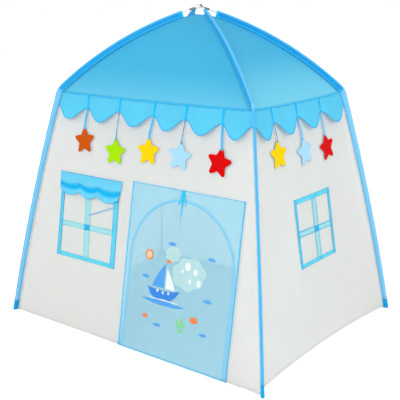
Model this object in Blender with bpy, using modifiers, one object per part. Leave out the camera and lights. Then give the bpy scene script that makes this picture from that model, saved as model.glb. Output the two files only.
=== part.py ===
"""Kids play tent: a small cloth house on four poles that run from the feet, over the eaves, to the peak.

Metres, +Z up. The origin is on the floor under the peak. The door wall faces -Y, the end walls +X and -X.
Each wall has its own flat frame: u runs to the right as seen from outside, v up the slope and n outward.
The legs bow outward, so each wall turns a little outward along its two edges to meet them.
"""

import functools
import math
from collections import namedtuple

import bmesh
import bpy
from mathutils import Matrix, Vector

# Tent size, from pole axis to pole axis
FOOT_SPAN_X = 1.300
FOOT_SPAN_Y = 1.000
EAVES_SPAN_X = 0.967
EAVES_SPAN_Y = 0.659
EAVES_HEIGHT = 0.963
PEAK_HEIGHT = 1.292
LEG_BOW = 0.013
ROOF_BOW = 0.0395

# Poles and their fittings
POLE_DIAMETER = 0.006
FIT_GAP = 0.0003
ELBOW_WALL = 0.0015
ELBOW_REACH = 0.020
ELBOW_SOCKET_DEPTH = 0.028
FERRULE_DIAMETER = 0.008
FERRULE_LENGTH = 0.036
POLE_IN_FERRULE = 0.026
HUB_WALL = 0.001
HUB_ARM = 0.016
HUB_SOCKET_DEPTH = 0.010
HUB_BARS_OVERLAP = 0.0012
CUT_OVERRUN = 0.002

# Pole sleeves: folded cloth that stands out of the corner seam, with the pole in its outer fold
SLEEVE_CLOTH = 0.0008
SLEEVE_WEB_FOOT = 0.0075
SLEEVE_WEB_EAVES = 0.0115
SLEEVE_WEB_ROOF = 0.0135
SLEEVE_NECK_SHARE = 0.3
SLEEVE_MOUTH_RADIUS = 0.070
FOOT_POCKET_HEIGHT = 0.036
FOOT_POCKET_FLOOR = 0.004

# Cloth body
BODY_CLOTH = 0.001
WALL_TURN_WIDTH = 0.035
CLOTH_GAP = 0.0003
HEM_CLEARANCE = 0.001
END_HEM_RISE_FRONT = 0.022
END_HEM_RISE_REAR = 0.008
END_HEM_RISE_MIDDLE = 0.036
PEAK_CLOTH_DROP = 0.038
PEAK_OPENING_RADIUS = 0.006

# Valance and hanging stars
VALANCE_CLOTH = 0.001
VALANCE_NOTCH_DROP = 0.055
FRONT_SCALLOP_DEPTH = 0.052
END_SCALLOP_DEPTH = 0.057
VALANCE_BULGE = 0.021
VALANCE_ROW_SHARES = (0.0, 0.5, 1.0)
FRONT_NOTCH_SHARES = (-0.674, -0.303, 0.076, 0.403, 0.759)
END_NOTCH_SHARES = (-0.628, -0.098, 0.454)
STAR_FELT = 0.0016
STAR_RADIUS = 0.0535
STAR_WAIST_SHARE = 0.58
STAR_ROUNDING_SHARE = 0.14
STAR_TIP_SPREAD = math.radians(70)
RIBBON_WIDTH = 0.005
RIBBON_CLEARANCE = 0.0015
RIBBON_LENGTH = 0.1405
RIBBON_HEM = 0.004

# Door
DOOR_CURTAIN_WIDTH = 0.5205
DOOR_CURTAIN_TOP = 0.6515
DOOR_CENTRE = 0.2258
DOOR_CURTAIN_CLOTH = 0.001
DOOR_FOLD_DEPTH = 0.006
DOOR_FOLD_START_SHARE = 0.35
ARCH_RADIUS = 0.241
ARCH_TOP = 0.608
ARCH_BINDING_WIDTH = 0.013
TAPE_THICKNESS = 0.0008
DOOR_TIE_WIDTH = 0.012
DOOR_TIE_LENGTH = 0.085
DOOR_TIE_CENTRE = 0.214
THRESHOLD_WIDTH = 0.025
THRESHOLD_LAP = 0.030

# Windows
WINDOW_TAPE_WIDTH = 0.020
WINDOW_SEAM_LAP = 0.012
WINDOW_BAR_WIDTH = 0.024
WINDOW_POST_WIDTH = 0.030
MESH_CLOTH = 0.0005
FRONT_WINDOW_WIDTH = 0.328
FRONT_WINDOW_HEIGHT = 0.3505
FRONT_WINDOW_CENTRE = -0.266
FRONT_WINDOW_FOOT = 0.290
FRONT_BAR_SHARE = 0.4
END_WINDOW_WIDTH = 0.267
END_WINDOW_HEIGHT = 0.266
END_WINDOW_CENTRE = 0.007
END_WINDOW_FOOT = 0.3445
END_BAR_SHARE = 0.48
CURTAIN_WIDTH = 0.3475
CURTAIN_DROP = 0.088
CURTAIN_CLOTH = 0.001
CURTAIN_PUFF = 0.012
CURTAIN_FOLD_DEPTH = 0.003
CURTAIN_SCALLOP_DEPTH = 0.016
TIE_STRAP_WIDTH = 0.006
TIE_STRAP_RISE = 0.075

# Counts
SHARP_ANGLE = math.radians(40)
TUBE_RESOLUTION = 4
TUBE_SIDES = 12
LEG_STATIONS = 6
BEND_STATIONS = 3
ROOF_STATIONS = 10
ARCH_STATIONS = 20
WALL_COLUMNS = 12
SCALLOP_STATIONS = 10
STAR_POINTS = 5
STAR_TIP_STATIONS = 4
DOOR_FOLDS = 5
DOOR_COLUMNS = 30
DOOR_ROWS = 8
CURTAIN_SCALLOPS = 3
CURTAIN_PLEATS = 9
CURTAIN_COLUMNS = 36
CURTAIN_ROWS = 7

# Radii that follow from the sizes above. A faceted bore is opened so that its flats clear what it holds.
FLAT_SHARE = math.cos(math.pi / TUBE_SIDES)
POLE_RADIUS = POLE_DIAMETER / 2
SOCKET_RADIUS = (POLE_RADIUS + FIT_GAP) / FLAT_SHARE
ELBOW_RADIUS = SOCKET_RADIUS + ELBOW_WALL
FERRULE_RADIUS = FERRULE_DIAMETER / 2
HUB_SOCKET_RADIUS = (FERRULE_RADIUS + FIT_GAP) / FLAT_SHARE
HUB_RADIUS = HUB_SOCKET_RADIUS + HUB_WALL
HUB_BAR_SPACING = 2 * HUB_RADIUS - HUB_BARS_OVERLAP
POCKET_RADIUS = (ELBOW_RADIUS + FIT_GAP) / FLAT_SHARE
SLEEVE_RADIUS = POCKET_RADIUS + SLEEVE_CLOTH

# Layers on the outside of a wall, measured along n
TRIM_BACK = CLOTH_GAP
TRIM_FACE = TRIM_BACK + TAPE_THICKNESS
CURTAIN_BACK = TRIM_FACE + CLOTH_GAP
VALANCE_BACK = TRIM_BACK + CLOTH_GAP
STAR_BACK = VALANCE_BACK + VALANCE_CLOTH + CLOTH_GAP
# Layers on its inside
MESH_BACK = -BODY_CLOTH - CLOTH_GAP - MESH_CLOTH
STRAP_BACK = MESH_BACK - CLOTH_GAP - TAPE_THICKNESS
THRESHOLD_BACK = -BODY_CLOTH - CLOTH_GAP - TAPE_THICKNESS

# Corners: the sign of x and of y, and whether the roof pole is in the pair that crosses over the other
Corner = namedtuple("Corner", "name x y crosses_over")
FRONT_LEFT = Corner("front_left", -1, -1, False)
FRONT_RIGHT = Corner("front_right", 1, -1, True)
REAR_RIGHT = Corner("rear_right", 1, 1, False)
REAR_LEFT = Corner("rear_left", -1, 1, True)
CORNERS = (FRONT_LEFT, FRONT_RIGHT, REAR_RIGHT, REAR_LEFT)

# Sides: the corner at the left and at the right as seen from outside
SIDES = {
    "front": (FRONT_LEFT, FRONT_RIGHT),
    "right": (FRONT_RIGHT, REAR_RIGHT),
    "rear": (REAR_RIGHT, REAR_LEFT),
    "left": (REAR_LEFT, FRONT_LEFT),
}

# A place on a pole: its point, the way the pole runs, the way out of the tent, and the depth down to the seam
Station = namedtuple("Station", "point along out depth")
# A hanging star: ribbon length and lean as shares of the common length, turn in degrees
Star = namedtuple("Star", "colour length_share lean_share turn")
FRONT_STARS = (
    Star("orange", 0.983, -0.053, 6.5),
    Star("green", 1.172, -0.021, 0),
    Star("yellow", 1.021, -0.093, 2),
    Star("light_blue", 1.024, -0.048, -4),
    Star("red", 1.036, 0.071, -8),
)
END_STARS = (
    Star("yellow", 0.9, 0.064, 0),
    Star("light_blue", 1.021, 0.108, 8),
    Star("red", 1.075, 0.054, 9),
)

COLOURS = {
    "rod_white": (0.86, 0.86, 0.84),
    "hub_white": (0.90, 0.90, 0.88),
    "elbow_white": (0.85, 0.85, 0.82),
    "ferrule_steel": (0.10, 0.11, 0.12),
    "sleeve_blue": (0.19, 0.58, 0.87),
    "pocket_blue": (0.0, 0.27, 0.75),
    "roof_blue": (0.08, 0.53, 0.80),
    "valance_blue": (0.20, 0.62, 0.86),
    "wall_white": (0.82, 0.83, 0.81),
    "mesh_white": (0.74, 0.76, 0.74),
    "door_blue": (0.40, 0.69, 0.87),
    "tape_blue": (0.11, 0.52, 0.87),
    "strap_grey": (0.30, 0.40, 0.50),
    "orange": (0.60, 0.09, 0.0),
    "green": (0.40, 0.79, 0.0),
    "yellow": (1.0, 0.68, 0.0),
    "light_blue": (0.40, 0.73, 1.0),
    "red": (0.72, 0.0, 0.0),
}
CLOTH_ROUGHNESS = 0.8
ROD_ROUGHNESS = 0.35

PARTS = "kids_play_tent"
CUTTERS = "kids_play_tent_cutters"


def clear_scene():
    for obj in list(bpy.data.objects):
        bpy.data.objects.remove(obj)


def collection(name):
    found = bpy.data.collections.get(name)
    if not found:
        found = bpy.data.collections.new(name)
        bpy.context.scene.collection.children.link(found)
    return found


def material(colour, roughness=CLOTH_ROUGHNESS, metallic=0.0):
    found = bpy.data.materials.get(colour)
    if found:
        return found
    made = bpy.data.materials.new(colour)
    made.use_nodes = True
    shader = made.node_tree.nodes["Principled BSDF"]
    shader.inputs["Base Color"].default_value = (*COLOURS[colour], 1)
    shader.inputs["Roughness"].default_value = roughness
    shader.inputs["Metallic"].default_value = metallic
    return made


def add_object(name, data, home=PARTS, surface=None):
    obj = bpy.data.objects.new(name, data)
    collection(home).objects.link(obj)
    if surface:
        data.materials.append(surface)
    return obj


def add_bmesh(name, form, surface=None, home=PARTS):
    mesh = bpy.data.meshes.new(name)
    form.to_mesh(mesh)
    form.free()
    return add_object(name, mesh, home, surface)


def as_cutter(obj):
    """Moves an object to the cutters, where it is drawn as wire and left out of a render."""
    for home in obj.users_collection:
        home.objects.unlink(obj)
    collection(CUTTERS).objects.link(obj)
    obj.hide_render = True
    obj.display_type = "WIRE"
    return obj


def boolean(obj, cutter, operation="DIFFERENCE"):
    step = obj.modifiers.new(cutter.name, "BOOLEAN")
    step.operation = operation
    step.object = as_cutter(cutter)
    return obj


def smooth(obj):
    obj.data.shade_smooth()
    obj.data.set_sharp_from_angle(angle=SHARP_ANGLE)
    return obj


# Tubes

def tube(name, path, radius, surface=None):
    """A round bar along a list of points, as a curve whose origin is its first point."""
    data = bpy.data.curves.new(name, "CURVE")
    data.dimensions = "3D"
    data.bevel_depth = radius
    data.bevel_resolution = TUBE_RESOLUTION
    data.use_fill_caps = True
    line = data.splines.new("POLY")
    line.points.add(len(path) - 1)
    for point, place in zip(line.points, path):
        point.co = (*(place - path[0]), 1)
    line.use_smooth = True
    obj = add_object(name, data, PARTS, surface)
    obj.location = path[0]
    return obj


def welded_form(curve):
    """A curve's surface as a form whose caps are welded to its sides. The curve is removed."""
    bpy.context.view_layer.update()
    graph = bpy.context.evaluated_depsgraph_get()
    mesh = bpy.data.meshes.new_from_object(curve.evaluated_get(graph))
    form = bmesh.new()
    form.from_mesh(mesh)
    bmesh.ops.remove_doubles(form, verts=form.verts, dist=POLE_RADIUS / 100)
    bpy.data.meshes.remove(mesh)
    bpy.data.objects.remove(curve)
    return form


def tube_as_mesh(name, path, radius, surface=None):
    """The same bar as a welded mesh, which can be cut and can cut."""
    form = welded_form(tube(name + "_line", path, radius))
    obj = smooth(add_bmesh(name, form, surface))
    obj.location = path[0]
    return obj


# Poles: a straight leg, a bend at the eaves and a bowed roof pole, all in plan towards the peak

def foot_point(corner):
    return Vector((corner.x * FOOT_SPAN_X / 2, corner.y * FOOT_SPAN_Y / 2, 0))


def eaves_point(corner):
    return Vector((corner.x * EAVES_SPAN_X / 2, corner.y * EAVES_SPAN_Y / 2, EAVES_HEIGHT))


def peak_point(corner):
    return Vector((0, 0, PEAK_HEIGHT + (HUB_BAR_SPACING if corner.crosses_over else 0)))


def bow(start, end, height):
    """The circle of a pole bowed from start to end: its centre, radius, two axes and half its angle."""
    chord = end - start
    forward = chord.normalized()
    outward = (Vector((0, 0, 1)) - forward * forward.z).normalized()
    radius = (chord.length ** 2 / 4 + height ** 2) / (2 * height)
    centre = (start + end) / 2 - outward * (radius - height)
    return centre, radius, outward, forward, math.asin(chord.length / (2 * radius))


def bow_length(start, end, height):
    _, radius, _, _, half_angle = bow(start, end, height)
    return 2 * radius * half_angle


def bow_point(start, end, height, distance):
    centre, radius, outward, forward, half_angle = bow(start, end, height)
    angle = distance / radius - half_angle
    return centre + (outward * math.cos(angle) + forward * math.sin(angle)) * radius


def leg_length(corner):
    return bow_length(foot_point(corner), eaves_point(corner), LEG_BOW)


def leg_point(corner, distance):
    """The leg's axis, at this distance from the floor along it."""
    return bow_point(foot_point(corner), eaves_point(corner), LEG_BOW, distance)


def roof_length(corner):
    return bow_length(eaves_point(corner), peak_point(corner), ROOF_BOW)


def roof_point(corner, distance):
    """The roof pole's axis, at this distance from the corner of the eaves along it."""
    return bow_point(eaves_point(corner), peak_point(corner), ROOF_BOW, distance)


def points_along(point, corner, start, end, count):
    """Evenly spaced points of a pole's axis from one distance to another."""
    return [point(corner, start + (end - start) * index / count) for index in range(count + 1)]


def bend_points(corner):
    """The pole's rounded turn from the leg to the roof, as a quadratic curve about the eaves corner."""
    start = leg_point(corner, leg_length(corner) - ELBOW_REACH)
    turn, end = eaves_point(corner), roof_point(corner, ELBOW_REACH)
    steps = [index / (BEND_STATIONS + 1) for index in range(BEND_STATIONS + 2)]
    return [start * (1 - t) ** 2 + turn * 2 * t * (1 - t) + end * t ** 2 for t in steps]


def mouth_distance(corner):
    """How far along the roof pole its sleeve ends."""
    low, high = 0.0, roof_length(corner)
    while high - low > POLE_RADIUS / 100:
        middle = (low + high) / 2
        if roof_point(corner, middle).xy.length > SLEEVE_MOUTH_RADIUS:
            low = middle
        else:
            high = middle
    return high


def mix(start, end, share):
    return start + (end - start) * share


@functools.cache
def stations(corner):
    """The sleeve's places from the floor over the bend to its mouth, each turned as its neighbours run."""
    leg = points_along(leg_point, corner, 0, leg_length(corner) - ELBOW_REACH, LEG_STATIONS)
    roof = points_along(roof_point, corner, ELBOW_REACH, mouth_distance(corner), ROOF_STATIONS)
    points = leg + bend_points(corner)[1:] + roof[1:]
    made = []
    for index, point in enumerate(points):
        before, after = points[max(index - 1, 0)], points[min(index + 1, len(points) - 1)]
        along = (after - before).normalized()
        out = (Vector((0, 0, 1)) - along * along.z).normalized()
        if index <= LEG_STATIONS:
            web = mix(SLEEVE_WEB_FOOT, SLEEVE_WEB_EAVES, index / LEG_STATIONS)
        else:
            share = min((index - LEG_STATIONS) / (BEND_STATIONS + 1), 1)
            web = mix(SLEEVE_WEB_EAVES, SLEEVE_WEB_ROOF, share)
        made.append(Station(point, along, out, SLEEVE_RADIUS + web))
    return made


def eaves_index():
    """Which of the stations lies at the eaves seam: the middle of the bend."""
    return LEG_STATIONS + (BEND_STATIONS + 1) // 2


def station_at(corner, distance):
    """A place on the lowest stretch of the sleeve, at this distance from the floor along the pole."""
    low, high = stations(corner)[:2]
    share = distance / (high.point - low.point).length
    along, out = low.along.lerp(high.along, share), low.out.lerp(high.out, share)
    return Station(low.point.lerp(high.point, share), along, out, mix(low.depth, high.depth, share))


def seam_point(place):
    """The seam under a pole, where the sleeve leaves the cloth body."""
    return place.point - place.out * place.depth


def leg_poles():
    for corner in CORNERS:
        start = FOOT_POCKET_FLOOR + FIT_GAP
        end = leg_length(corner) - ELBOW_REACH - FIT_GAP
        path = points_along(leg_point, corner, start, end, LEG_STATIONS)
        tube(f"leg_pole_{corner.name}", path, POLE_RADIUS, material("rod_white", ROD_ROUGHNESS))


def roof_poles():
    for corner in CORNERS:
        start = ELBOW_REACH + FIT_GAP
        ferrule_mouth = roof_length(corner) - (HUB_ARM - HUB_SOCKET_DEPTH) - FERRULE_LENGTH
        path = points_along(roof_point, corner, start, ferrule_mouth + POLE_IN_FERRULE, ROOF_STATIONS)
        tube(f"roof_pole_{corner.name}", path, POLE_RADIUS, material("rod_white", ROD_ROUGHNESS))


def elbows():
    """Bent tubes at the eaves, with a socket for a pole in each end."""
    for corner in CORNERS:
        name = f"elbow_{corner.name}"
        leg_end = leg_length(corner) - ELBOW_REACH
        leg_side = [leg_point(corner, leg_end - ELBOW_SOCKET_DEPTH)]
        roof_side = [roof_point(corner, ELBOW_REACH + ELBOW_SOCKET_DEPTH)]
        path = leg_side + bend_points(corner) + roof_side
        body = tube_as_mesh(name, path, ELBOW_RADIUS, material("elbow_white"))
        leg_cut = [leg_point(corner, leg_end - ELBOW_SOCKET_DEPTH - CUT_OVERRUN), leg_point(corner, leg_end)]
        reach = ELBOW_REACH + ELBOW_SOCKET_DEPTH + CUT_OVERRUN
        roof_cut = [roof_point(corner, ELBOW_REACH), roof_point(corner, reach)]
        for side, cut in (("leg", leg_cut), ("roof", roof_cut)):
            boolean(body, tube_as_mesh(f"{name}_{side}_socket", cut, SOCKET_RADIUS))


def ferrule_path(corner, start_overrun=0.0, end_overrun=0.0):
    end = roof_length(corner) - (HUB_ARM - HUB_SOCKET_DEPTH)
    start = end - FERRULE_LENGTH
    return [roof_point(corner, start - start_overrun), roof_point(corner, end + end_overrun)]


def ferrules():
    """Short steel tubes that join each roof pole to the hub."""
    for corner in CORNERS:
        name = f"ferrule_{corner.name}"
        steel = material("ferrule_steel", ROD_ROUGHNESS, 1.0)
        body = tube_as_mesh(name, ferrule_path(corner), FERRULE_RADIUS, steel)
        bore = tube_as_mesh(f"{name}_bore", ferrule_path(corner, CUT_OVERRUN, CUT_OVERRUN), SOCKET_RADIUS)
        boolean(body, bore)


def hub():
    """Two moulded bars, one across the other, with a socket in each of the four ends."""
    bars = []
    for near, far in ((FRONT_LEFT, REAR_RIGHT), (FRONT_RIGHT, REAR_LEFT)):
        ends = [roof_point(corner, roof_length(corner) - HUB_ARM) for corner in (near, far)]
        path = [ends[0], peak_point(near), ends[1]]
        name = "hub_bar" if bars else "peak_hub"
        bars.append(tube_as_mesh(name, path, HUB_RADIUS, material("hub_white", ROD_ROUGHNESS)))
    body = boolean(bars[0], bars[1], "UNION")
    for corner in CORNERS:
        path = ferrule_path(corner)
        path[1] = roof_point(corner, roof_length(corner) - (HUB_ARM - HUB_SOCKET_DEPTH) + FIT_GAP)
        boolean(body, tube_as_mesh(f"hub_socket_{corner.name}", path, HUB_SOCKET_RADIUS))


# Sleeves

def sleeve_outline(depth):
    """The folded sleeve's outline about the pole, as (out, across), from the fold round to the seam."""
    arc = [math.radians(angle) for angle in range(-120, 121, 30)]
    fold = [(SLEEVE_RADIUS * math.cos(angle), SLEEVE_RADIUS * math.sin(angle)) for angle in arc]
    neck = -mix(SLEEVE_RADIUS, depth, SLEEVE_NECK_SHARE)
    seam = -depth - BODY_CLOTH
    right = [(neck, SLEEVE_CLOTH), (seam, SLEEVE_CLOTH)]
    left = [(seam, -SLEEVE_CLOTH), (neck, -SLEEVE_CLOTH)]
    return fold + right + left


def sleeve_bore():
    """The pole's passage, with a point for each point of the outline."""
    angles = [*range(-120, 121, 30), 150, 170, -170, -150]
    angles = [math.radians(angle) for angle in angles]
    return [(POCKET_RADIUS * math.cos(angle), POCKET_RADIUS * math.sin(angle)) for angle in angles]


def section(place, outline):
    across = place.along.cross(place.out)
    return [place.point + place.out * out + across * side for out, side in outline]


def skin(name, rings, bores, surface):
    """A closed body through like sections. With bores, it has a passage from end to end."""
    form = bmesh.new()
    outer = [[form.verts.new(point) for point in ring] for ring in rings]
    inner = [[form.verts.new(point) for point in ring] for ring in bores]
    count = len(rings[0])
    for skins in (outer, inner):
        for low, high in zip(skins, skins[1:]):
            for index in range(count):
                after = (index + 1) % count
                form.faces.new((low[index], low[after], high[after], high[index]))
    for end in (0, -1):
        if not inner:
            form.faces.new(outer[end])
            continue
        for index in range(count):
            after = (index + 1) % count
            form.faces.new((outer[end][index], outer[end][after], inner[end][after], inner[end][index]))
    bmesh.ops.recalc_face_normals(form, faces=form.faces)
    return smooth(add_bmesh(name, form, surface))


def sleeves():
    """One sleeve per corner, from the foot pocket over the eaves to its mouth near the peak."""
    for corner in CORNERS:
        places = [station_at(corner, FOOT_POCKET_HEIGHT + CLOTH_GAP), *stations(corner)[1:]]
        rings = [section(place, sleeve_outline(place.depth)) for place in places]
        bores = [section(place, sleeve_bore()) for place in places]
        skin(f"pole_sleeve_{corner.name}", rings, bores, material("sleeve_blue"))


def foot_pockets():
    """Closed pockets at the feet, cut level with the floor, that hold the ends of the leg poles."""
    for corner in CORNERS:
        name = f"foot_pocket_{corner.name}"
        low, top = stations(corner)[0], station_at(corner, FOOT_POCKET_HEIGHT)
        ring = section(low, sleeve_outline(low.depth))
        foot = [point - low.along * (point.z / low.along.z) for point in ring]
        body = skin(name, [foot, section(top, sleeve_outline(top.depth))], [], material("pocket_blue"))
        path = [leg_point(corner, FOOT_POCKET_FLOOR), leg_point(corner, FOOT_POCKET_HEIGHT + CUT_OVERRUN)]
        boolean(body, tube_as_mesh(f"{name}_bore", path, POCKET_RADIUS))


# Walls and what is sewn to them

@functools.cache
def seam_line(corner):
    """The corner seam: its point on the floor, those beside the leg's stations and the eaves corner."""
    places = stations(corner)
    line = [seam_point(place) for place in (*places[: LEG_STATIONS + 1], places[eaves_index()])]
    low, high = line[:2]
    line[0] = low + (high - low) * (low.z / (low.z - high.z))
    return line


def frame_matrix(side, u=0.0, v=0.0, n=0.0):
    """A place in the side's flat frame, as a matrix whose axes are u, v and n."""
    left, right = (seam_line(corner) for corner in SIDES[side])
    origin = (left[0] + right[0]) / 2
    across = (right[0] - left[0]).normalized()
    up = (left[-1] + right[-1]) / 2 - origin
    up = (up - across * up.dot(across)).normalized()
    turn = Matrix((across, up, across.cross(up))).transposed().to_4x4()
    return Matrix.Translation(origin) @ turn @ Matrix.Translation(Vector((u, v, n)))


@functools.cache
def seam_swell(side):
    """How far the corner seams stand out of the flat frame beside the legs, as (v, n) from the floor up."""
    inverse = frame_matrix(side).inverted()
    left, right = (seam_line(corner) for corner in SIDES[side])
    places = [inverse @ ((a + b) / 2) for a, b in zip(left, right)]
    return [(place.y, place.z) for place in (*places[:LEG_STATIONS], places[-1])]


def along_line(line, place):
    """The value of a line of (place, value) pairs at a place along it."""
    for (low, low_value), (high, high_value) in zip(line, line[1:]):
        if place <= high:
            return mix(low_value, high_value, (place - low) / (high - low))
    return line[-1][1]


def wall_lift(side, u, v):
    """How far the wall leaves its flat frame, to meet the seams along its edges."""
    distance = min(u - edge_at(side, False, v), edge_at(side, True, v) - u)
    return along_line(seam_swell(side), v) * max(1 - distance / WALL_TURN_WIDTH, 0)


def seam_inset():
    """How far a wall's edge keeps from the corner seam, so that it clears the sleeve's cloth."""
    return (SLEEVE_CLOTH + CLOTH_GAP) / math.sin(math.pi / 4)


@functools.cache
def edge_line(side, right_edge):
    """The wall's left or right edge from the floor up, as (u, v), clear of the corner seam."""
    corner = SIDES[side][1 if right_edge else 0]
    inverse = frame_matrix(side).inverted()
    inset = -seam_inset() if right_edge else seam_inset()
    places = [inverse @ point for point in seam_line(corner)]
    return [(place.x + inset, place.y) for place in places]


def wall_top(side):
    """The height up the slope at which the wall meets the roof."""
    corner_height = min(edge_line(side, right_edge)[-1][1] for right_edge in (False, True))
    return corner_height - CLOTH_GAP - BODY_CLOTH / 2


def edge_at(side, right_edge, height):
    """The edge's u at this height up the slope."""
    return along_line([(v, u) for u, v in edge_line(side, right_edge)], height)


def flat_piece(name, side, outlines, back, thickness, surface, pivot=(0.0, 0.0)):
    """A piece of cloth on a wall: its outline, then any holes, as (u, v). Its origin is at the pivot."""
    data = bpy.data.curves.new(name + "_outline", "CURVE")
    data.dimensions = "2D"
    data.fill_mode = "BOTH"
    data.extrude = thickness / 2
    for outline in outlines:
        line = data.splines.new("POLY")
        line.use_cyclic_u = True
        line.points.add(len(outline) - 1)
        for point, (u, v) in zip(line.points, outline):
            point.co = (u - pivot[0], v - pivot[1], 0, 1)
    obj = add_bmesh(name, welded_form(add_object(name + "_outline", data)), surface)
    obj.matrix_world = frame_matrix(side, *pivot, back + thickness / 2)
    return obj


def draped_piece(name, side, columns, rows, place, thickness, surface, pivot):
    """A folded cloth on a wall. place gives (u, v, n) of its back for each column and row."""
    form = bmesh.new()
    origin = Vector(pivot)
    grid = [[form.verts.new(Vector(place(column, row)) - origin) for column in columns] for row in rows]
    for upper, lower in zip(grid, grid[1:]):
        for index in range(len(columns) - 1):
            form.faces.new((upper[index], lower[index], lower[index + 1]))
            form.faces.new((upper[index], lower[index + 1], upper[index + 1]))
    obj = smooth(add_bmesh(name, form, surface))
    obj.matrix_world = frame_matrix(side, *pivot)
    shell = obj.modifiers.new("cloth", "SOLIDIFY")
    shell.thickness = thickness
    shell.offset = 1
    return obj


def even_shares(count):
    return [index / count for index in range(count + 1)]


def rectangle(left, right, foot, top):
    return [(left, foot), (right, foot), (right, top), (left, top)]


def hem_height(side, share):
    """The wall's lower edge from left to right. The end walls' hems rise off the floor in a shallow arch."""
    if side in ("front", "rear"):
        return HEM_CLEARANCE
    first, last = END_HEM_RISE_FRONT, END_HEM_RISE_REAR
    if side == "left":
        first, last = last, first
    arch = END_HEM_RISE_MIDDLE - (first + last) / 2
    return mix(first, last, share) + arch * (1 - (2 * share - 1) ** 2)


def arch_line(radius_growth=0.0, foot=0.0):
    """The door's arch from its left foot over the top to its right foot, or a line outside it."""
    radius = ARCH_RADIUS + radius_growth
    spring = ARCH_TOP - ARCH_RADIUS
    turns = [math.pi * index / ARCH_STATIONS for index in range(ARCH_STATIONS + 1)]
    curve = [(DOOR_CENTRE - radius * math.cos(turn), spring + radius * math.sin(turn)) for turn in turns]
    return [(DOOR_CENTRE - radius, foot), *curve, (DOOR_CENTRE + radius, foot)]


def window_rectangle(side):
    """The outer edge of the side's window frame: left, right, foot and top."""
    if side == "front":
        width, height, foot = FRONT_WINDOW_WIDTH, FRONT_WINDOW_HEIGHT, FRONT_WINDOW_FOOT
        centre = FRONT_WINDOW_CENTRE
    else:
        width, height, foot = END_WINDOW_WIDTH, END_WINDOW_HEIGHT, END_WINDOW_FOOT
        centre = END_WINDOW_CENTRE if side == "right" else -END_WINDOW_CENTRE
    return centre - width / 2, centre + width / 2, foot, foot + height


def grown(edges, growth):
    left, right, foot, top = edges
    return left - growth, right + growth, foot - growth, top + growth


WINDOW_SIDES = ("front", "right", "left")


def cut_opening(wall, side, opening, outline):
    """Cuts an opening of this outline through a wall."""
    boolean(wall, flat_piece(f"{side}_{opening}_cut", side, [outline], -CUT_OVERRUN, 2 * CUT_OVERRUN, None))


def walls():
    for side in SIDES:
        top = wall_top(side)
        heights = [v for v, _ in seam_swell(side)[1:-1]]

        def place(column, height):
            share = column / WALL_COLUMNS
            v = hem_height(side, share) if height is None else height
            left, right = edge_at(side, False, v), edge_at(side, True, v)
            inner_share = (column - 1) / (WALL_COLUMNS - 2)
            u = mix(left + WALL_TURN_WIDTH, right - WALL_TURN_WIDTH, inner_share)
            u = {0: left, WALL_COLUMNS: right}.get(column, u)
            return u, v, wall_lift(side, u, v) - BODY_CLOTH

        columns, rows = range(WALL_COLUMNS + 1), [top, *reversed(heights), None]
        wall = draped_piece(f"wall_{side}", side, columns, rows, place, BODY_CLOTH,
                            material("wall_white"), (0, 0, 0))
        if side == "front":
            cut_opening(wall, side, "door", arch_line(foot=-CUT_OVERRUN))
        if side in WINDOW_SIDES:
            cut_opening(wall, side, "window", rectangle(*grown(window_rectangle(side), -WINDOW_SEAM_LAP)))


def windows():
    """In each window a mesh behind the wall, and on its face a tape frame with a crossing pair of bars."""
    for side in WINDOW_SIDES:
        outer = window_rectangle(side)
        mesh_edges = rectangle(*outer)
        flat_piece(f"window_mesh_{side}", side, [mesh_edges], MESH_BACK, MESH_CLOTH, material("mesh_white"))
        left, right, foot, top = outer
        share = FRONT_BAR_SHARE if side == "front" else END_BAR_SHARE
        bar_v, bar_u = mix(foot, top, share), (left + right) / 2
        half, post_half = WINDOW_BAR_WIDTH / 2, WINDOW_POST_WIDTH / 2
        inner_left, inner_right, inner_foot, inner_top = grown(outer, -WINDOW_TAPE_WIDTH)
        panes = [
            rectangle(u_low, u_high, v_low, v_high)
            for u_low, u_high in ((inner_left, bar_u - post_half), (bar_u + post_half, inner_right))
            for v_low, v_high in ((inner_foot, bar_v - half), (bar_v + half, inner_top))
        ]
        outlines = [rectangle(*outer), *panes]
        flat_piece(f"window_frame_{side}", side, outlines, TRIM_BACK, TAPE_THICKNESS, material("tape_blue"))


def window_curtain_place(across, down):
    """The front window's gathered curtain: a flat head, a puff where it is tied up, and a scalloped edge."""
    _, _, _, top = window_rectangle("front")
    u = FRONT_WINDOW_CENTRE + CURTAIN_WIDTH * (across - 1 / 2)
    scallop = abs(math.sin(math.pi * CURTAIN_SCALLOPS * across))
    drop = CURTAIN_DROP - CURTAIN_SCALLOP_DEPTH * (1 - scallop)
    puff = CURTAIN_PUFF * math.sin(math.pi * down) ** 2 * (1 - (2 * across - 1) ** 4)
    pleat = CURTAIN_FOLD_DEPTH * down * (1 - math.cos(2 * math.pi * CURTAIN_PLEATS * across)) / 2
    return u, top - drop * down, CURTAIN_BACK + puff + pleat


def window_curtain():
    _, _, _, top = window_rectangle("front")
    pivot = (FRONT_WINDOW_CENTRE, top, CURTAIN_BACK + CURTAIN_CLOTH / 2)
    draped_piece("window_curtain_front", "front", even_shares(CURTAIN_COLUMNS), even_shares(CURTAIN_ROWS),
                 window_curtain_place, CURTAIN_CLOTH, material("tape_blue"), pivot)


def window_tie_strap():
    """A narrow strap behind the mesh, from under the middle bar to under the frame's right side."""
    _, right, _, top = window_rectangle("front")
    start, end = FRONT_WINDOW_CENTRE, right - WINDOW_TAPE_WIDTH / 2
    high = top - CURTAIN_DROP - WINDOW_TAPE_WIDTH
    low = high - TIE_STRAP_RISE * (end - start) / FRONT_WINDOW_WIDTH
    half = TIE_STRAP_WIDTH / 2
    outline = [(start, low - half), (end, high - half), (end, high + half), (start, low + half)]
    flat_piece("window_tie_strap", "front", [outline], STRAP_BACK, TAPE_THICKNESS, material("strap_grey"))


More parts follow.
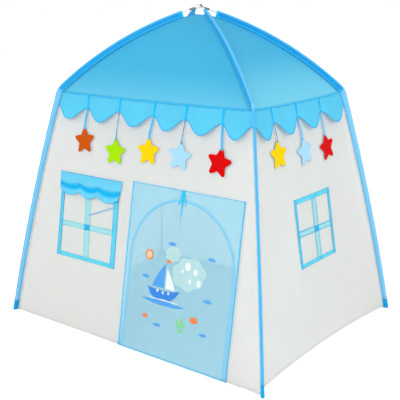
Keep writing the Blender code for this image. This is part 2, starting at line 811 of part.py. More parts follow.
def door_curtain_place(across, down):
    """The door curtain: flat at its head, with soft folds that open towards its hem."""
    u = DOOR_CENTRE + DOOR_CURTAIN_WIDTH * (across - 1 / 2)
    v = mix(DOOR_CURTAIN_TOP, HEM_CLEARANCE, down)
    depth = DOOR_FOLD_DEPTH * max(down - DOOR_FOLD_START_SHARE, 0) / (1 - DOOR_FOLD_START_SHARE)
    return u, v, CURTAIN_BACK + depth * (1 - math.cos(2 * math.pi * DOOR_FOLDS * across)) / 2


def door():
    """The curtain over the arch with its tie tape, the arch's binding, and the tape across the threshold."""
    pivot = (DOOR_CENTRE, DOOR_CURTAIN_TOP, CURTAIN_BACK + DOOR_CURTAIN_CLOTH / 2)
    curtain = draped_piece("door_curtain", "front", even_shares(DOOR_COLUMNS), even_shares(DOOR_ROWS),
                           door_curtain_place, DOOR_CURTAIN_CLOTH, material("door_blue"), pivot)
    half = DOOR_TIE_WIDTH / 2
    tie_foot = DOOR_CURTAIN_TOP - DOOR_TIE_LENGTH
    tie = rectangle(DOOR_TIE_CENTRE - half, DOOR_TIE_CENTRE + half, tie_foot, DOOR_CURTAIN_TOP)
    tie_back = CURTAIN_BACK + DOOR_CURTAIN_CLOTH + CLOTH_GAP
    tie_pivot = (DOOR_TIE_CENTRE, DOOR_CURTAIN_TOP)
    tape = flat_piece("door_tie_tape", "front", [tie], tie_back, TAPE_THICKNESS,
                      material("tape_blue"), tie_pivot)
    tape.parent = curtain
    tape.matrix_parent_inverse = curtain.matrix_world.inverted()
    binding = arch_line(foot=HEM_CLEARANCE) + arch_line(ARCH_BINDING_WIDTH, HEM_CLEARANCE)[::-1]
    flat_piece("door_arch_binding", "front", [binding], TRIM_BACK, TAPE_THICKNESS, material("tape_blue"))
    reach = ARCH_RADIUS + THRESHOLD_LAP
    low = HEM_CLEARANCE + CLOTH_GAP
    tape_edges = rectangle(DOOR_CENTRE - reach, DOOR_CENTRE + reach, low, low + THRESHOLD_WIDTH)
    flat_piece("threshold_tape", "front", [tape_edges], THRESHOLD_BACK, TAPE_THICKNESS,
               material("wall_white"))


# Roof

def roof_sections(side):
    """Pairs of seam points from the eaves to the peak, left and right, at like shares of the roof poles."""
    lines = []
    for corner in SIDES[side]:
        places = stations(corner)[eaves_index():]
        places[0] = places[0]._replace(point=places[0].point + places[0].along * (CLOTH_GAP + BODY_CLOTH / 2))
        line = [seam_point(place) for place in places]
        outward = Vector((*line[-1].xy, 0)).normalized()
        height = PEAK_HEIGHT + HUB_BAR_SPACING / 2 - PEAK_CLOTH_DROP
        line.append(outward * PEAK_OPENING_RADIUS + Vector((0, 0, height)))
        lines.append(line)
    return list(zip(*lines))


def roof_panels():
    """Each roof panel is straight from seam to seam and follows the bow of the poles from eaves to peak."""
    for side, (left_corner, _) in SIDES.items():
        pairs = roof_sections(side)
        width = (pairs[0][1] - pairs[0][0]).normalized()
        plan = Vector((*eaves_point(left_corner).xy, 0)).normalized()
        inset = (SLEEVE_CLOTH + CLOTH_GAP) / width.cross(plan).length
        form = bmesh.new()
        rings = []
        for index, (left, right) in enumerate(pairs):
            before, after = pairs[max(index - 1, 0)], pairs[min(index + 1, len(pairs) - 1)]
            slope = (sum(after, Vector()) - sum(before, Vector())).normalized()
            across = (right - left).normalized()
            inward = slope.cross(across).normalized() * BODY_CLOTH
            start, end = left + across * inset, right - across * inset
            face = (start, (start + end) / 2, end)
            rings.append([[form.verts.new(point + shift) for point in face] for shift in (Vector(), inward)])
        for low, high in zip(rings, rings[1:]):
            for lower, upper in zip(low, high):
                form.faces.new((lower[0], lower[1], upper[0]))
                form.faces.new((lower[1], upper[1], upper[0]))
                form.faces.new((lower[1], lower[2], upper[2]))
                form.faces.new((lower[1], upper[2], upper[1]))
            for edge in (0, 2):
                form.faces.new((low[0][edge], low[1][edge], high[1][edge], high[0][edge]))
        for outer, inner in (rings[0], rings[-1]):
            for half in (0, 1):
                form.faces.new((outer[half], outer[half + 1], inner[half + 1], inner[half]))
        bmesh.ops.recalc_face_normals(form, faces=form.faces)
        smooth(add_bmesh(f"roof_{side}", form, material("roof_blue")))


# Valances and stars

def notch_shares(side):
    if side in ("front", "rear"):
        return FRONT_NOTCH_SHARES
    shares = END_NOTCH_SHARES
    return shares if side == "right" else tuple(-share for share in reversed(shares))


def notch_places(side):
    """The u of each notch of the side's valance."""
    half = edge_at(side, True, wall_top(side))
    return [share * half for share in notch_shares(side)]


def valance_columns(side):
    """For each scallop its ends and places between them: flat beside the ribbons, then closer at its flanks."""
    top = wall_top(side)
    ends = [edge_at(side, False, top), *notch_places(side), edge_at(side, True, top)]
    columns = [(0, 0.0, 0.0)]
    for index, (left, right) in enumerate(zip(ends, ends[1:])):
        margin = (RIBBON_WIDTH / 2 + RIBBON_CLEARANCE) / (right - left)
        for step in range(SCALLOP_STATIONS + 1):
            share = (1 - math.cos(math.pi * step / SCALLOP_STATIONS)) / 2
            columns.append((index, mix(margin, 1 - margin, share), share))
        columns.append((index, 1.0, 1.0))
    return columns


def valances():
    """Scalloped cloths that hang from the eaves seam, puffed out between the ribbons that hold them."""
    for side in SIDES:
        top, notches = wall_top(side), notch_places(side)
        depth = FRONT_SCALLOP_DEPTH if side in ("front", "rear") else END_SCALLOP_DEPTH

        def place(column, down):
            index, across, share = column
            drop = VALANCE_NOTCH_DROP + depth * math.sin(math.pi * share) ** 2
            height = top - drop * down
            ends = [edge_at(side, False, height), *notches, edge_at(side, True, height)]
            puff = VALANCE_BULGE * down * math.sqrt(max(math.sin(math.pi * share), 0))
            u = mix(ends[index], ends[index + 1], across)
            return u, height, VALANCE_BACK + wall_lift(side, u, height) + puff

        pivot = (0.0, top, VALANCE_BACK + VALANCE_CLOTH / 2)
        draped_piece(f"valance_{side}", side, valance_columns(side), VALANCE_ROW_SHARES, place,
                     VALANCE_CLOTH, material("valance_blue"), pivot)


def star_outline(centre_u, centre_v, turn):
    """A star with rounded points, from the right side of its top point round to the left side of it."""
    waist = STAR_RADIUS * STAR_WAIST_SHARE
    rounding = STAR_RADIUS * STAR_ROUNDING_SHARE
    step = math.pi / STAR_POINTS
    points = []
    for index in range(1, 2 * STAR_POINTS):
        angle = math.pi / 2 - step * index + turn
        if index % 2:
            points.append((centre_u + waist * math.cos(angle), centre_v + waist * math.sin(angle)))
            continue
        hub_radius = STAR_RADIUS - rounding
        hub_u, hub_v = centre_u + hub_radius * math.cos(angle), centre_v + hub_radius * math.sin(angle)
        for tip in range(STAR_TIP_STATIONS):
            spread = STAR_TIP_SPREAD * (1 - 2 * tip / (STAR_TIP_STATIONS - 1))
            turned = angle + spread
            points.append((hub_u + rounding * math.cos(turned), hub_v + rounding * math.sin(turned)))
    return points


def stars():
    """Felt stars on ribbons sewn into the eaves seam at the valance's notches. Each swings about it."""
    hung = {"front": FRONT_STARS, "right": END_STARS, "left": END_STARS[::-1]}
    for side, row in hung.items():
        hand = -1 if side == "left" else 1
        seam = wall_top(side)
        for star, notch in zip(row, notch_places(side)):
            length = RIBBON_LENGTH * star.length_share
            end_u, end_v = notch + hand * star.lean_share * RIBBON_LENGTH, seam - length
            turn = math.radians(star.turn * hand)
            reach = STAR_RADIUS - RIBBON_HEM
            centre_u, centre_v = end_u + reach * math.sin(turn), end_v - reach * math.cos(turn)
            half, bend = RIBBON_WIDTH / 2, seam - VALANCE_NOTCH_DROP
            body = star_outline(centre_u, centre_v, turn)
            left = [(notch - half, seam), (notch - half, bend), (end_u - half, end_v)]
            right = [(end_u + half, end_v), (notch + half, bend), (notch + half, seam)]
            outline = left + body[::-1] + right
            flat_piece(f"star_{side}_{star.colour}", side, [outline], STAR_BACK, STAR_FELT,
                       material(star.colour), (notch, seam))


def main():
    clear_scene()
    leg_poles()
    elbows()
    roof_poles()
    ferrules()
    hub()
    sleeves()
    foot_pockets()
    walls()
    windows()
    window_curtain()
    window_tie_strap()
    door()
    roof_panels()
    valances()
    stars()


if __name__ == "__main__":
    main()
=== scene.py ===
"""Cloth, trim and finishes of a kids play tent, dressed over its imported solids.

Metres, +Z up. The origin is on the floor under the peak. The door wall faces -Y, the end walls +X and -X.
Each wall has its own flat frame: u runs to the right as seen from outside, v up the slope and n outward.
"""

import functools
import math
from collections import namedtuple

import bmesh
import bpy
from bpy.props import FloatProperty, FloatVectorProperty, PointerProperty
from bpy.types import Operator, Panel, PropertyGroup
from mathutils import Matrix, Vector, kdtree, noise
from mathutils.geometry import delaunay_2d_cdt


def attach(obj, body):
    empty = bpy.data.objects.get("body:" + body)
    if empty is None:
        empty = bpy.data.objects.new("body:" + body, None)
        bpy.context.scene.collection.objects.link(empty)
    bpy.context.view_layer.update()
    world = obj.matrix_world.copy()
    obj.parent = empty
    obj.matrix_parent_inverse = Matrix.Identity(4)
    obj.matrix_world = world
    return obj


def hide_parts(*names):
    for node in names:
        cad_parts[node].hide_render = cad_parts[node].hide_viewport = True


bl_info = {
    "name": "Kids Play Tent",
    "version": (1, 0, 0),
    "blender": (4, 5, 0),
    "location": "View3D > Sidebar > Play Tent",
    "description": "Dresses the tent's solids with sewn cloth, trim, felt stars and finishes",
    "category": "Add Mesh",
}

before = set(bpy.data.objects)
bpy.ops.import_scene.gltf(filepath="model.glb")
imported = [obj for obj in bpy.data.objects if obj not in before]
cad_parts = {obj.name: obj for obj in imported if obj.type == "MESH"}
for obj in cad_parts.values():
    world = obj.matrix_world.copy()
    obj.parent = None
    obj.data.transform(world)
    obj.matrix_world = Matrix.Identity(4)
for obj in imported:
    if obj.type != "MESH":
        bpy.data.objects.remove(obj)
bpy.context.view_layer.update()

# Tent size, from pole axis to pole axis, as in the solids
FOOT_SPAN_X = 1.300
FOOT_SPAN_Y = 1.000
EAVES_SPAN_X = 0.967
EAVES_SPAN_Y = 0.659
EAVES_HEIGHT = 0.963
PEAK_HEIGHT = 1.292
LEG_BOW = 0.013
ROOF_BOW = 0.0395
HUB_BAR_SPACING = 0.0097
ELBOW_REACH = 0.020

# Pole sleeves
SLEEVE_RADIUS = 0.0062
SLEEVE_CLOTH = 0.0008
SLEEVE_WEB_FOOT = 0.0075
SLEEVE_WEB_EAVES = 0.0115
SLEEVE_WEB_ROOF = 0.0135
SLEEVE_MOUTH_RADIUS = 0.070
MOUTH_HEM = 0.013
FOOT_POCKET_HEIGHT = 0.036
FOOT_POCKET_LAP = 0.012
SLEEVE_TIGHT_RADIUS = 0.0056
# Degrees of the rod that the folded cloth covers to each side of the fold
SLEEVE_ARC = 128

# Cloth body
BODY_CLOTH = 0.0006
LIGHT_CLOTH = 0.0005
VOILE_CLOTH = 0.0004
WALL_TURN_WIDTH = 0.035
HEM_CLEARANCE = 0.001
HEM_WIDTH = 0.010
END_HEM_RISE_FRONT = 0.022
END_HEM_RISE_REAR = 0.008
END_HEM_RISE_MIDDLE = 0.036
PEAK_CLOTH_DROP = 0.038
PEAK_OPENING_RADIUS = 0.006
SEAM_INSET = 0.0016
EAVES_PIPING_LIFT = 0.0022
HEM_ROLL_RADIUS = 0.0012
# A wall's cloth hangs slack from its foot to one height, and again above another over a reach
SLACK_FOOT_TOP = 0.64
SLACK_HEAD_FOOT = 0.62
SLACK_HEAD_REACH = 0.36
# How far apart the points of a cut sheet lie
CUT_SPACING = 0.014
FELT_SPACING = 0.007
PRINT_SPACING = 0.009

# Valances and stars
VALANCE_NOTCH_DROP = 0.055
SCALLOP_FULLNESS = 1.75
SCALLOP_DEPTHS = {"front": 0.052, "right": 0.057, "rear": 0.052, "left": 0.057}
FRONT_NOTCH_SHARES = (-0.674, -0.303, 0.076, 0.403, 0.759)
END_NOTCH_SHARES = (-0.628, -0.098, 0.454)
STAR_RADIUS = 0.0535
STAR_WAIST_SHARE = 0.58
STAR_ROUNDING_SHARE = 0.14
STAR_TIP_SPREAD = math.radians(70)
STAR_POINTS = 5
RIBBON_SHOWN = 0.0078
RIBBON_LENGTH = 0.1405
RIBBON_HEM = 0.004
RIBBON_LIFT = 0.0030

# Door
DOOR_CURTAIN_WIDTH = 0.5205
DOOR_CURTAIN_TOP = 0.6515
DOOR_CENTRE = 0.2258
DOOR_FOLD_START_SHARE = 0.35
DOOR_FOLDS = 5
ARCH_RADIUS = 0.241
ARCH_TOP = 0.608
ARCH_BINDING_WIDTH = 0.013
DOOR_TIE_CENTRE = 0.214
DOOR_HEM_RADIUS = 0.0014
DOOR_SIDE_RADIUS = 0.0020
DOOR_HEAD_RADIUS = 0.0010
THRESHOLD_WIDTH = 0.025
THRESHOLD_LAP = 0.030

# Windows: the outer edge of each frame, as left, right, foot and top
FRONT_WINDOW = (-0.430, -0.102, 0.290, 0.6405)
RIGHT_WINDOW = (-0.1265, 0.1405, 0.3445, 0.6105)
LEFT_WINDOW = (-0.1405, 0.1265, 0.3445, 0.6105)
WINDOWS = {"front": FRONT_WINDOW, "right": RIGHT_WINDOW, "left": LEFT_WINDOW}
WINDOW_SEAM_LAP = 0.012
CURTAIN_WIDTH = 0.3475
CURTAIN_DROP = 0.088
CURTAIN_SCALLOP_DEPTH = 0.016
CURTAIN_ENDS = (0.0, 0.36, 0.66, 1.0)
CURTAIN_CENTRE = -0.2660
STRAP = ((-0.268, 0.4797), (-0.118, 0.5372))
STRAP_WIDTH = 0.0058

# Heights of the layers over a wall's face, along n
TRIM_LIFT = 0.0003
CURTAIN_LIFT = 0.0014
VALANCE_LIFT = 0.0010
STAR_LIFT = 0.0024
NET_LIFT = -0.0016
STRAP_LIFT = -0.0014
THRESHOLD_LIFT = -0.0016

# Tapes and their turned edges
TAPE_THICKNESS = 0.0006
SHEER_THICKNESS = 0.0003
EDGE_THICKNESS = 0.0002
BAR_EDGE_WIDTH = 0.0030
POST_EDGE_WIDTH = 0.0032
SIDE_EDGE_WIDTH = 0.0028

# Counts of stations, columns and rows
LEG_STATIONS = 48
BEND_STATIONS = 7
ROOF_STATIONS = 48
SLEEVE_ARC_STATIONS = 16
ROOF_COLUMNS, ROOF_ROWS = 36, 44
SCALLOP_COLUMNS, VALANCE_ROWS = 20, 12
CURTAIN_COLUMNS, CURTAIN_ROWS = 90, 26
DOOR_COLUMNS, DOOR_ROWS = 104, 60
ARCH_STATIONS = 48

Corner = namedtuple("Corner", "name x y crosses_over")
FRONT_LEFT = Corner("front_left", -1, -1, False)
FRONT_RIGHT = Corner("front_right", 1, -1, True)
REAR_RIGHT = Corner("rear_right", 1, 1, False)
REAR_LEFT = Corner("rear_left", -1, 1, True)
CORNERS = (FRONT_LEFT, FRONT_RIGHT, REAR_RIGHT, REAR_LEFT)
SIDES = {
    "front": (FRONT_LEFT, FRONT_RIGHT),
    "right": (FRONT_RIGHT, REAR_RIGHT),
    "rear": (REAR_RIGHT, REAR_LEFT),
    "left": (REAR_LEFT, FRONT_LEFT),
}
Station = namedtuple("Station", "point along out depth")
Star = namedtuple("Star", "colour length_share lean_share turn half_twists")
FRONT_STARS = (
    Star("orange", 0.983, -0.053, 6.5, 0),
    Star("green", 1.172, -0.021, 0, 2),
    Star("yellow", 1.021, -0.093, 2, 0),
    Star("light_blue", 1.024, -0.048, -4, 2),
    Star("red", 1.036, 0.071, -8, 0),
)
END_STARS = (
    Star("yellow", 0.9, 0.064, 0, 2),
    Star("light_blue", 1.021, 0.108, 8, 0),
    Star("red", 1.075, 0.054, 9, 0),
)
# A soft fold in tight cloth: its two ends as (u, v), its width and its height out of the cloth
Crease = namedtuple("Crease", "u v end_u end_v width height")
WALL_CREASES = {
    "front": (
        Crease(-0.078, 0.27, -0.070, 0.63, 0.010, -0.0030),
        Crease(-0.058, 0.10, -0.054, 0.60, 0.009, -0.0022),
        Crease(-0.100, 0.28, -0.30, 0.06, 0.020, -0.0030),
        Crease(-0.430, 0.29, -0.57, 0.10, 0.018, -0.0028),
        Crease(-0.435, 0.64, -0.50, 0.86, 0.016, -0.0024),
        Crease(-0.095, 0.65, -0.02, 0.86, 0.018, -0.0026),
        Crease(0.505, 0.12, 0.490, 0.62, 0.010, -0.0026),
        Crease(0.30, 0.66, 0.43, 0.84, 0.022, -0.0024),
    ),
    "right": (
        Crease(0.157, 0.612, 0.166, 0.70, 0.007, 0.0042),
        Crease(0.170, 0.36, 0.200, 0.60, 0.016, -0.0028),
        Crease(0.128, 0.345, 0.31, 0.10, 0.018, -0.0036),
        Crease(-0.134, 0.340, -0.30, 0.14, 0.018, -0.0034),
        Crease(-0.20, 0.10, -0.17, 0.56, 0.014, -0.0024),
        Crease(0.02, 0.05, 0.00, 0.32, 0.020, -0.0024),
        Crease(-0.118, 0.612, -0.20, 0.84, 0.016, -0.0026),
    ),
    "rear": (
        Crease(-0.35, 0.05, -0.26, 0.74, 0.024, -0.0034),
        Crease(-0.06, 0.08, -0.02, 0.66, 0.020, -0.0030),
        Crease(0.22, 0.05, 0.19, 0.72, 0.022, -0.0034),
        Crease(0.45, 0.10, 0.36, 0.60, 0.020, -0.0028),
    ),
    "left": (
        Crease(-0.157, 0.612, -0.166, 0.70, 0.008, 0.0036),
        Crease(-0.128, 0.345, -0.31, 0.10, 0.018, -0.0034),
        Crease(0.134, 0.340, 0.30, 0.14, 0.018, -0.0032),
        Crease(0.19, 0.10, 0.18, 0.56, 0.014, -0.0026),
    ),
}
ROOF_CREASES = (
    Crease(0.03, 0.03, 0.30, 0.30, 0.030, -0.0026),
    Crease(0.97, 0.03, 0.68, 0.26, 0.030, -0.0024),
    Crease(0.40, 0.05, 0.46, 0.62, 0.040, -0.0022),
    Crease(0.64, 0.10, 0.56, 0.70, 0.036, -0.0018),
)


def linear(code):
    """An sRGB hex colour as linear red, green and blue."""
    parts = [int(code[start:start + 2], 16) / 255 for start in (1, 3, 5)]
    return tuple(p / 12.92 if p <= 0.04045 else ((p + 0.055) / 1.055) ** 2.4 for p in parts)


def length_setting(name, description, default, top):
    return FloatProperty(name=name, description=description, default=default, min=0, max=top,
                         precision=4, unit="LENGTH", subtype="DISTANCE")


def colour_setting(name, description, code):
    return FloatVectorProperty(name=name, description=description, default=linear(code), min=0, max=1,
                               size=3, subtype="COLOR")


class PlayTentSizes(PropertyGroup):
    """How the cloth hangs on the poles."""
    wall_slack: length_setting("Wall slack", "How far the end walls sag inward", 0.004, 0.03)
    front_slack: length_setting("Front slack", "How far the front and rear walls sag inward", 0.006, 0.03)
    roof_slack: length_setting("Roof slack", "How far the roof's cloth sags between the poles", 0.005, 0.03)
    eaves_sag: length_setting("Eaves sag", "How far the eaves seam hangs between corners", 0.005, 0.02)
    valance_puff: length_setting("Valance puff", "How far each scallop stands out at its edge", 0.020, 0.04)
    door_fold: length_setting("Door folds", "Depth of the door curtain's folds at its hem", 0.006, 0.012)
    curtain_puff: length_setting("Window curtain puff", "How far the tied curtain stands out", 0.012, 0.02)
    felt: length_setting("Felt", "Thickness of the felt stars", 0.0018, 0.004)
    piping: length_setting("Piping", "Radius of the piping in the seams", 0.0015, 0.003)


class PlayTentColours(PropertyGroup):
    """The colours of the cloth and felt."""
    roof: colour_setting("Roof", "Sky-blue roof cloth", "#4AC0E6")
    valance: colour_setting("Valance", "Scalloped eaves cloth", "#6ADCF8")
    sleeve: colour_setting("Sleeves", "Folded cloth round the poles", "#86D0F6")
    piping: colour_setting("Piping", "Seam lines and hems of the roof and hips", "#10C2FF")
    pocket: colour_setting("Foot pockets", "Webbing at the feet", "#0E9AD8")
    wall: colour_setting("Walls", "White wall cloth", "#F6F6F4")
    net: colour_setting("Netting", "Window netting", "#EBEDE9")
    tape: colour_setting("Tape", "Window tape", "#62E0FF")
    curtain: colour_setting("Window curtain", "Gathered curtain cloth", "#74DAF6")
    door: colour_setting("Door voile", "Sheer door curtain", "#A2E6FF")
    door_hem: colour_setting("Door hem", "Rolled hem of the door curtain", "#14C4FF")
    ribbon: colour_setting("Ribbon", "Satin ribbon of the stars", "#00B6F6")
    strap: colour_setting("Strap", "Strap behind the front window", "#86AACF")
    orange: colour_setting("Orange felt", "Star felt", "#CC5500")
    green: colour_setting("Green felt", "Star felt", "#AAE600")
    yellow: colour_setting("Yellow felt", "Star felt", "#FFD700")
    light_blue: colour_setting("Light blue felt", "Star felt", "#AADEFF")
    red: colour_setting("Red felt", "Star felt", "#DC0000")


def sizes():
    return bpy.context.scene.play_tent_sizes


def colours():
    return bpy.context.scene.play_tent_colours


# Numbers

def mix(start, end, share):
    return start + (end - start) * share


def clamped(value):
    return min(max(value, 0.0), 1.0)


def eased(value):
    value = clamped(value)
    return value * value * (3 - 2 * value)


def hump(share):
    """Rises from 0 to 1 in the middle and falls back to 0."""
    return math.sin(math.pi * share)


def uneven(*place):
    """A smooth random value about 0."""
    return noise.noise(Vector(place))


# Poles, as the solids have them

def foot_point(corner):
    return Vector((corner.x * FOOT_SPAN_X / 2, corner.y * FOOT_SPAN_Y / 2, 0))


def eaves_point(corner):
    return Vector((corner.x * EAVES_SPAN_X / 2, corner.y * EAVES_SPAN_Y / 2, EAVES_HEIGHT))


def peak_point(corner):
    return Vector((0, 0, PEAK_HEIGHT + (HUB_BAR_SPACING if corner.crosses_over else 0)))


@functools.cache
def bow(leg, corner):
    """The circle of a bowed leg or roof pole: its centre, radius, two axes and half its angle."""
    start, end = (foot_point, eaves_point) if leg else (eaves_point, peak_point)
    start, end = start(corner), end(corner)
    height = LEG_BOW if leg else ROOF_BOW
    chord = end - start
    forward = chord.normalized()
    outward = (Vector((0, 0, 1)) - forward * forward.z).normalized()
    radius = (chord.length ** 2 / 4 + height ** 2) / (2 * height)
    centre = (start + end) / 2 - outward * (radius - height)
    return centre, radius, outward, forward, math.asin(chord.length / (2 * radius))


def pole_length(leg, corner):
    _, radius, _, _, half_angle = bow(leg, corner)
    return 2 * radius * half_angle


def pole_point(leg, corner, distance):
    centre, radius, outward, forward, half_angle = bow(leg, corner)
    angle = distance / radius - half_angle
    return centre + (outward * math.cos(angle) + forward * math.sin(angle)) * radius


def mouth_distance(corner):
    """How far along the roof pole its sleeve ends."""
    low, high = 0.0, pole_length(False, corner)
    while high - low > 1e-5:
        middle = (low + high) / 2
        if pole_point(False, corner, middle).xy.length > SLEEVE_MOUTH_RADIUS:
            low = middle
        else:
            high = middle
    return high


@functools.cache
def stations(corner):
    """The sleeve's places from the floor over the bend to its mouth."""
    leg_end = pole_length(True, corner) - ELBOW_REACH
    mouth = mouth_distance(corner)
    leg = [pole_point(True, corner, leg_end * index / LEG_STATIONS) for index in range(LEG_STATIONS + 1)]
    start, turn, end = leg[-1], eaves_point(corner), pole_point(False, corner, ELBOW_REACH)
    steps = [index / (BEND_STATIONS + 1) for index in range(1, BEND_STATIONS + 2)]
    bend = [start * (1 - t) ** 2 + turn * 2 * t * (1 - t) + end * t ** 2 for t in steps]
    reach = mouth - ELBOW_REACH
    roof = [pole_point(False, corner, ELBOW_REACH + reach * index / ROOF_STATIONS)
            for index in range(1, ROOF_STATIONS + 1)]
    points = leg + bend + roof
    made = []
    for index, point in enumerate(points):
        before, after = points[max(index - 1, 0)], points[min(index + 1, len(points) - 1)]
        along = (after - before).normalized()
        out = (Vector((0, 0, 1)) - along * along.z).normalized()
        if index <= LEG_STATIONS:
            web = mix(SLEEVE_WEB_FOOT, SLEEVE_WEB_EAVES, index / LEG_STATIONS)
        else:
            bent = clamped((index - LEG_STATIONS) / (BEND_STATIONS + 1))
            web = mix(SLEEVE_WEB_EAVES, SLEEVE_WEB_ROOF, bent)
        made.append(Station(point, along, out, SLEEVE_RADIUS + web))
    return made


EAVES_INDEX = LEG_STATIONS + (BEND_STATIONS + 1) // 2


def seam_point(place):
    return place.point - place.out * place.depth


# Walls' flat frames, as the solids have them

@functools.cache
def seam_line(corner):
    places = stations(corner)
    line = [seam_point(place) for place in (*places[: LEG_STATIONS + 1], places[EAVES_INDEX])]
    low, high = line[:2]
    line[0] = low + (high - low) * (low.z / (low.z - high.z))
    return line


@functools.cache
def side_matrix(side):
    left, right = (seam_line(corner) for corner in SIDES[side])
    origin = (left[0] + right[0]) / 2
    across = (right[0] - left[0]).normalized()
    up = (left[-1] + right[-1]) / 2 - origin
    up = (up - across * up.dot(across)).normalized()
    turn = Matrix((across, up, across.cross(up))).transposed().to_4x4()
    return Matrix.Translation(origin) @ turn


@functools.cache
def seam_swell(side):
    inverse = side_matrix(side).inverted()
    left, right = (seam_line(corner) for corner in SIDES[side])
    places = [inverse @ ((a + b) / 2) for a, b in zip(left, right)]
    return tuple((place.y, place.z) for place in (*places[:LEG_STATIONS], places[-1]))


def from_side(side, u, v, n):
    return side_matrix(side) @ Vector((u, v, n))


def along_line(line, place):
    """The value of a line of (place, value) pairs, nearly evenly spaced, at a place along it."""
    span = line[-1][0] - line[0][0]
    guess = int(clamped((place - line[0][0]) / span) * (len(line) - 1))
    index = min(max(guess - 1, 0), len(line) - 2)
    while index < len(line) - 2 and line[index + 1][0] < place:
        index += 1
    while index > 0 and line[index][0] > place:
        index -= 1
    (low, low_value), (high, high_value) = line[index], line[index + 1]
    return mix(low_value, high_value, clamped((place - low) / (high - low)))


@functools.cache
def edge_line(side, right_edge):
    corner = SIDES[side][1 if right_edge else 0]
    inverse = side_matrix(side).inverted()
    inset = -SEAM_INSET if right_edge else SEAM_INSET
    places = [inverse @ point for point in seam_line(corner)]
    return tuple((place.y, place.x + inset) for place in places)


def edge_at(side, right_edge, height):
    return along_line(edge_line(side, right_edge), height)


@functools.cache
def wall_top(side):
    return min(edge_line(side, right_edge)[-1][0] for right_edge in (False, True)) - 0.0008


def across_share(side, u, v):
    left, right = edge_at(side, False, v), edge_at(side, True, v)
    return (u - left) / (right - left)


def wall_lift(side, u, v):
    """How far the wall leaves its flat frame, to meet the seams along its edges."""
    distance = max(min(u - edge_at(side, False, v), edge_at(side, True, v) - u), 0.0)
    turn = clamped(1 - distance / WALL_TURN_WIDTH)
    return along_line(seam_swell(side), v) * turn * turn * (1.6 - 0.6 * turn)


def crease_height(creases, u, v):
    height = 0.0
    for crease in creases:
        run_u, run_v = crease.end_u - crease.u, crease.end_v - crease.v
        length = math.hypot(run_u, run_v)
        share = ((u - crease.u) * run_u + (v - crease.v) * run_v) / length ** 2
        if 0 < share < 1:
            off = ((u - crease.u) * run_v - (v - crease.v) * run_u) / length
            height += crease.height * math.exp(-(off / crease.width) ** 2) * hump(share) ** 0.7
    return height


def wall_face(side, u, v):
    """The n of the wall's outer face: tight at its edges, slack in its middle, with soft creases."""
    share = clamped(across_share(side, u, v))
    slack = sizes().wall_slack if side in ("left", "right") else sizes().front_slack
    inner = 1 - (2 * share - 1) ** 4
    belly = hump(clamped(v / SLACK_FOOT_TOP)) ** 1.2 if v < SLACK_FOOT_TOP else 0.0
    high = 0.35 * hump(clamped((v - SLACK_HEAD_FOOT) / SLACK_HEAD_REACH)) if v > SLACK_HEAD_FOOT else 0.0
    sway = uneven(u * 6.5, v * 1.6, 7.0 * list(SIDES).index(side)) * 0.5 + 0.5
    ripple = uneven(u * 30, v * 4, 3.0) * 0.5 + 0.5
    sag = slack * inner * (belly + high) + inner * (0.0022 * sway + 0.0006 * ripple)
    return wall_lift(side, u, v) - sag + inner * crease_height(WALL_CREASES[side], u, v)


def wall_point(side, u, v, lift=0.0):
    return from_side(side, u, v, wall_face(side, u, v) + lift)


def on_wall(side):
    return functools.partial(wall_point, side)


def hem_height(side, share):
    """The wall's lower edge from left to right. The end walls' hems rise off the floor in a shallow arch."""
    if side in ("front", "rear"):
        return HEM_CLEARANCE
    first, last = END_HEM_RISE_FRONT, END_HEM_RISE_REAR
    if side == "left":
        first, last = last, first
    arch = END_HEM_RISE_MIDDLE - (first + last) / 2
    return mix(first, last, share) + arch * (1 - (2 * share - 1) ** 2)


def eaves_drop(share):
    return sizes().eaves_sag * (1 - (2 * clamped(share) - 1) ** 2)


# Meshes

def finished(name, form, surface, smooth=True):
    """Turns a form into a named object that shows this surface."""
    bmesh.ops.recalc_face_normals(form, faces=form.faces)
    mesh = bpy.data.meshes.new(name)
    form.to_mesh(mesh)
    form.free()
    if smooth:
        mesh.shade_smooth()
    mesh.materials.append(surface)
    made = bpy.data.objects.new(name, mesh)
    bpy.context.scene.collection.objects.link(made)
    return made


def thickened(obj, thickness, offset=-1.0):
    shell = obj.modifiers.new("cloth thickness", "SOLIDIFY")
    shell.thickness = thickness
    shell.offset = offset
    return obj


def grid_form(form, columns, rows, place, size):
    """Adds a cloth grid. place gives a point for its shares across and down, size is that of its weave."""
    threads = form.loops.layers.uv.verify()
    grid = [[form.verts.new(place(across, down)) for across in columns] for down in rows]
    for row in range(len(rows) - 1):
        for column in range(len(columns) - 1):
            corners = ((row, column), (row + 1, column), (row + 1, column + 1), (row, column + 1))
            face = form.faces.new([grid[r][c] for r, c in corners])
            for loop, (r, c) in zip(face.loops, corners):
                loop[threads].uv = (columns[c] * size[0], -rows[r] * size[1])
    return form


def cloth_grid(name, columns, rows, place, size, surface, thickness):
    return thickened(finished(name, grid_form(bmesh.new(), columns, rows, place, size), surface), thickness)


def shares(count):
    return [index / count for index in range(count + 1)]


def divided(line, spacing, closed=False):
    """A line of (u, v) places with none further apart than the spacing."""
    made = []
    ends = list(zip(line, line[1:] + (line[:1] if closed else [])))
    for (u, v), (next_u, next_v) in ends:
        steps = max(1, math.ceil(math.hypot(next_u - u, next_v - v) / spacing))
        made += [(mix(u, next_u, step / steps), mix(v, next_v, step / steps)) for step in range(steps)]
    return made if closed else made + [line[-1]]


def inside(loop, u, v):
    """Whether a place is inside a closed line, by counting the edges to its right."""
    found = False
    for (a_u, a_v), (b_u, b_v) in zip(loop, loop[1:] + loop[:1]):
        if (a_v > v) != (b_v > v) and u < a_u + (b_u - a_u) * (v - a_v) / (b_v - a_v):
            found = not found
    return found


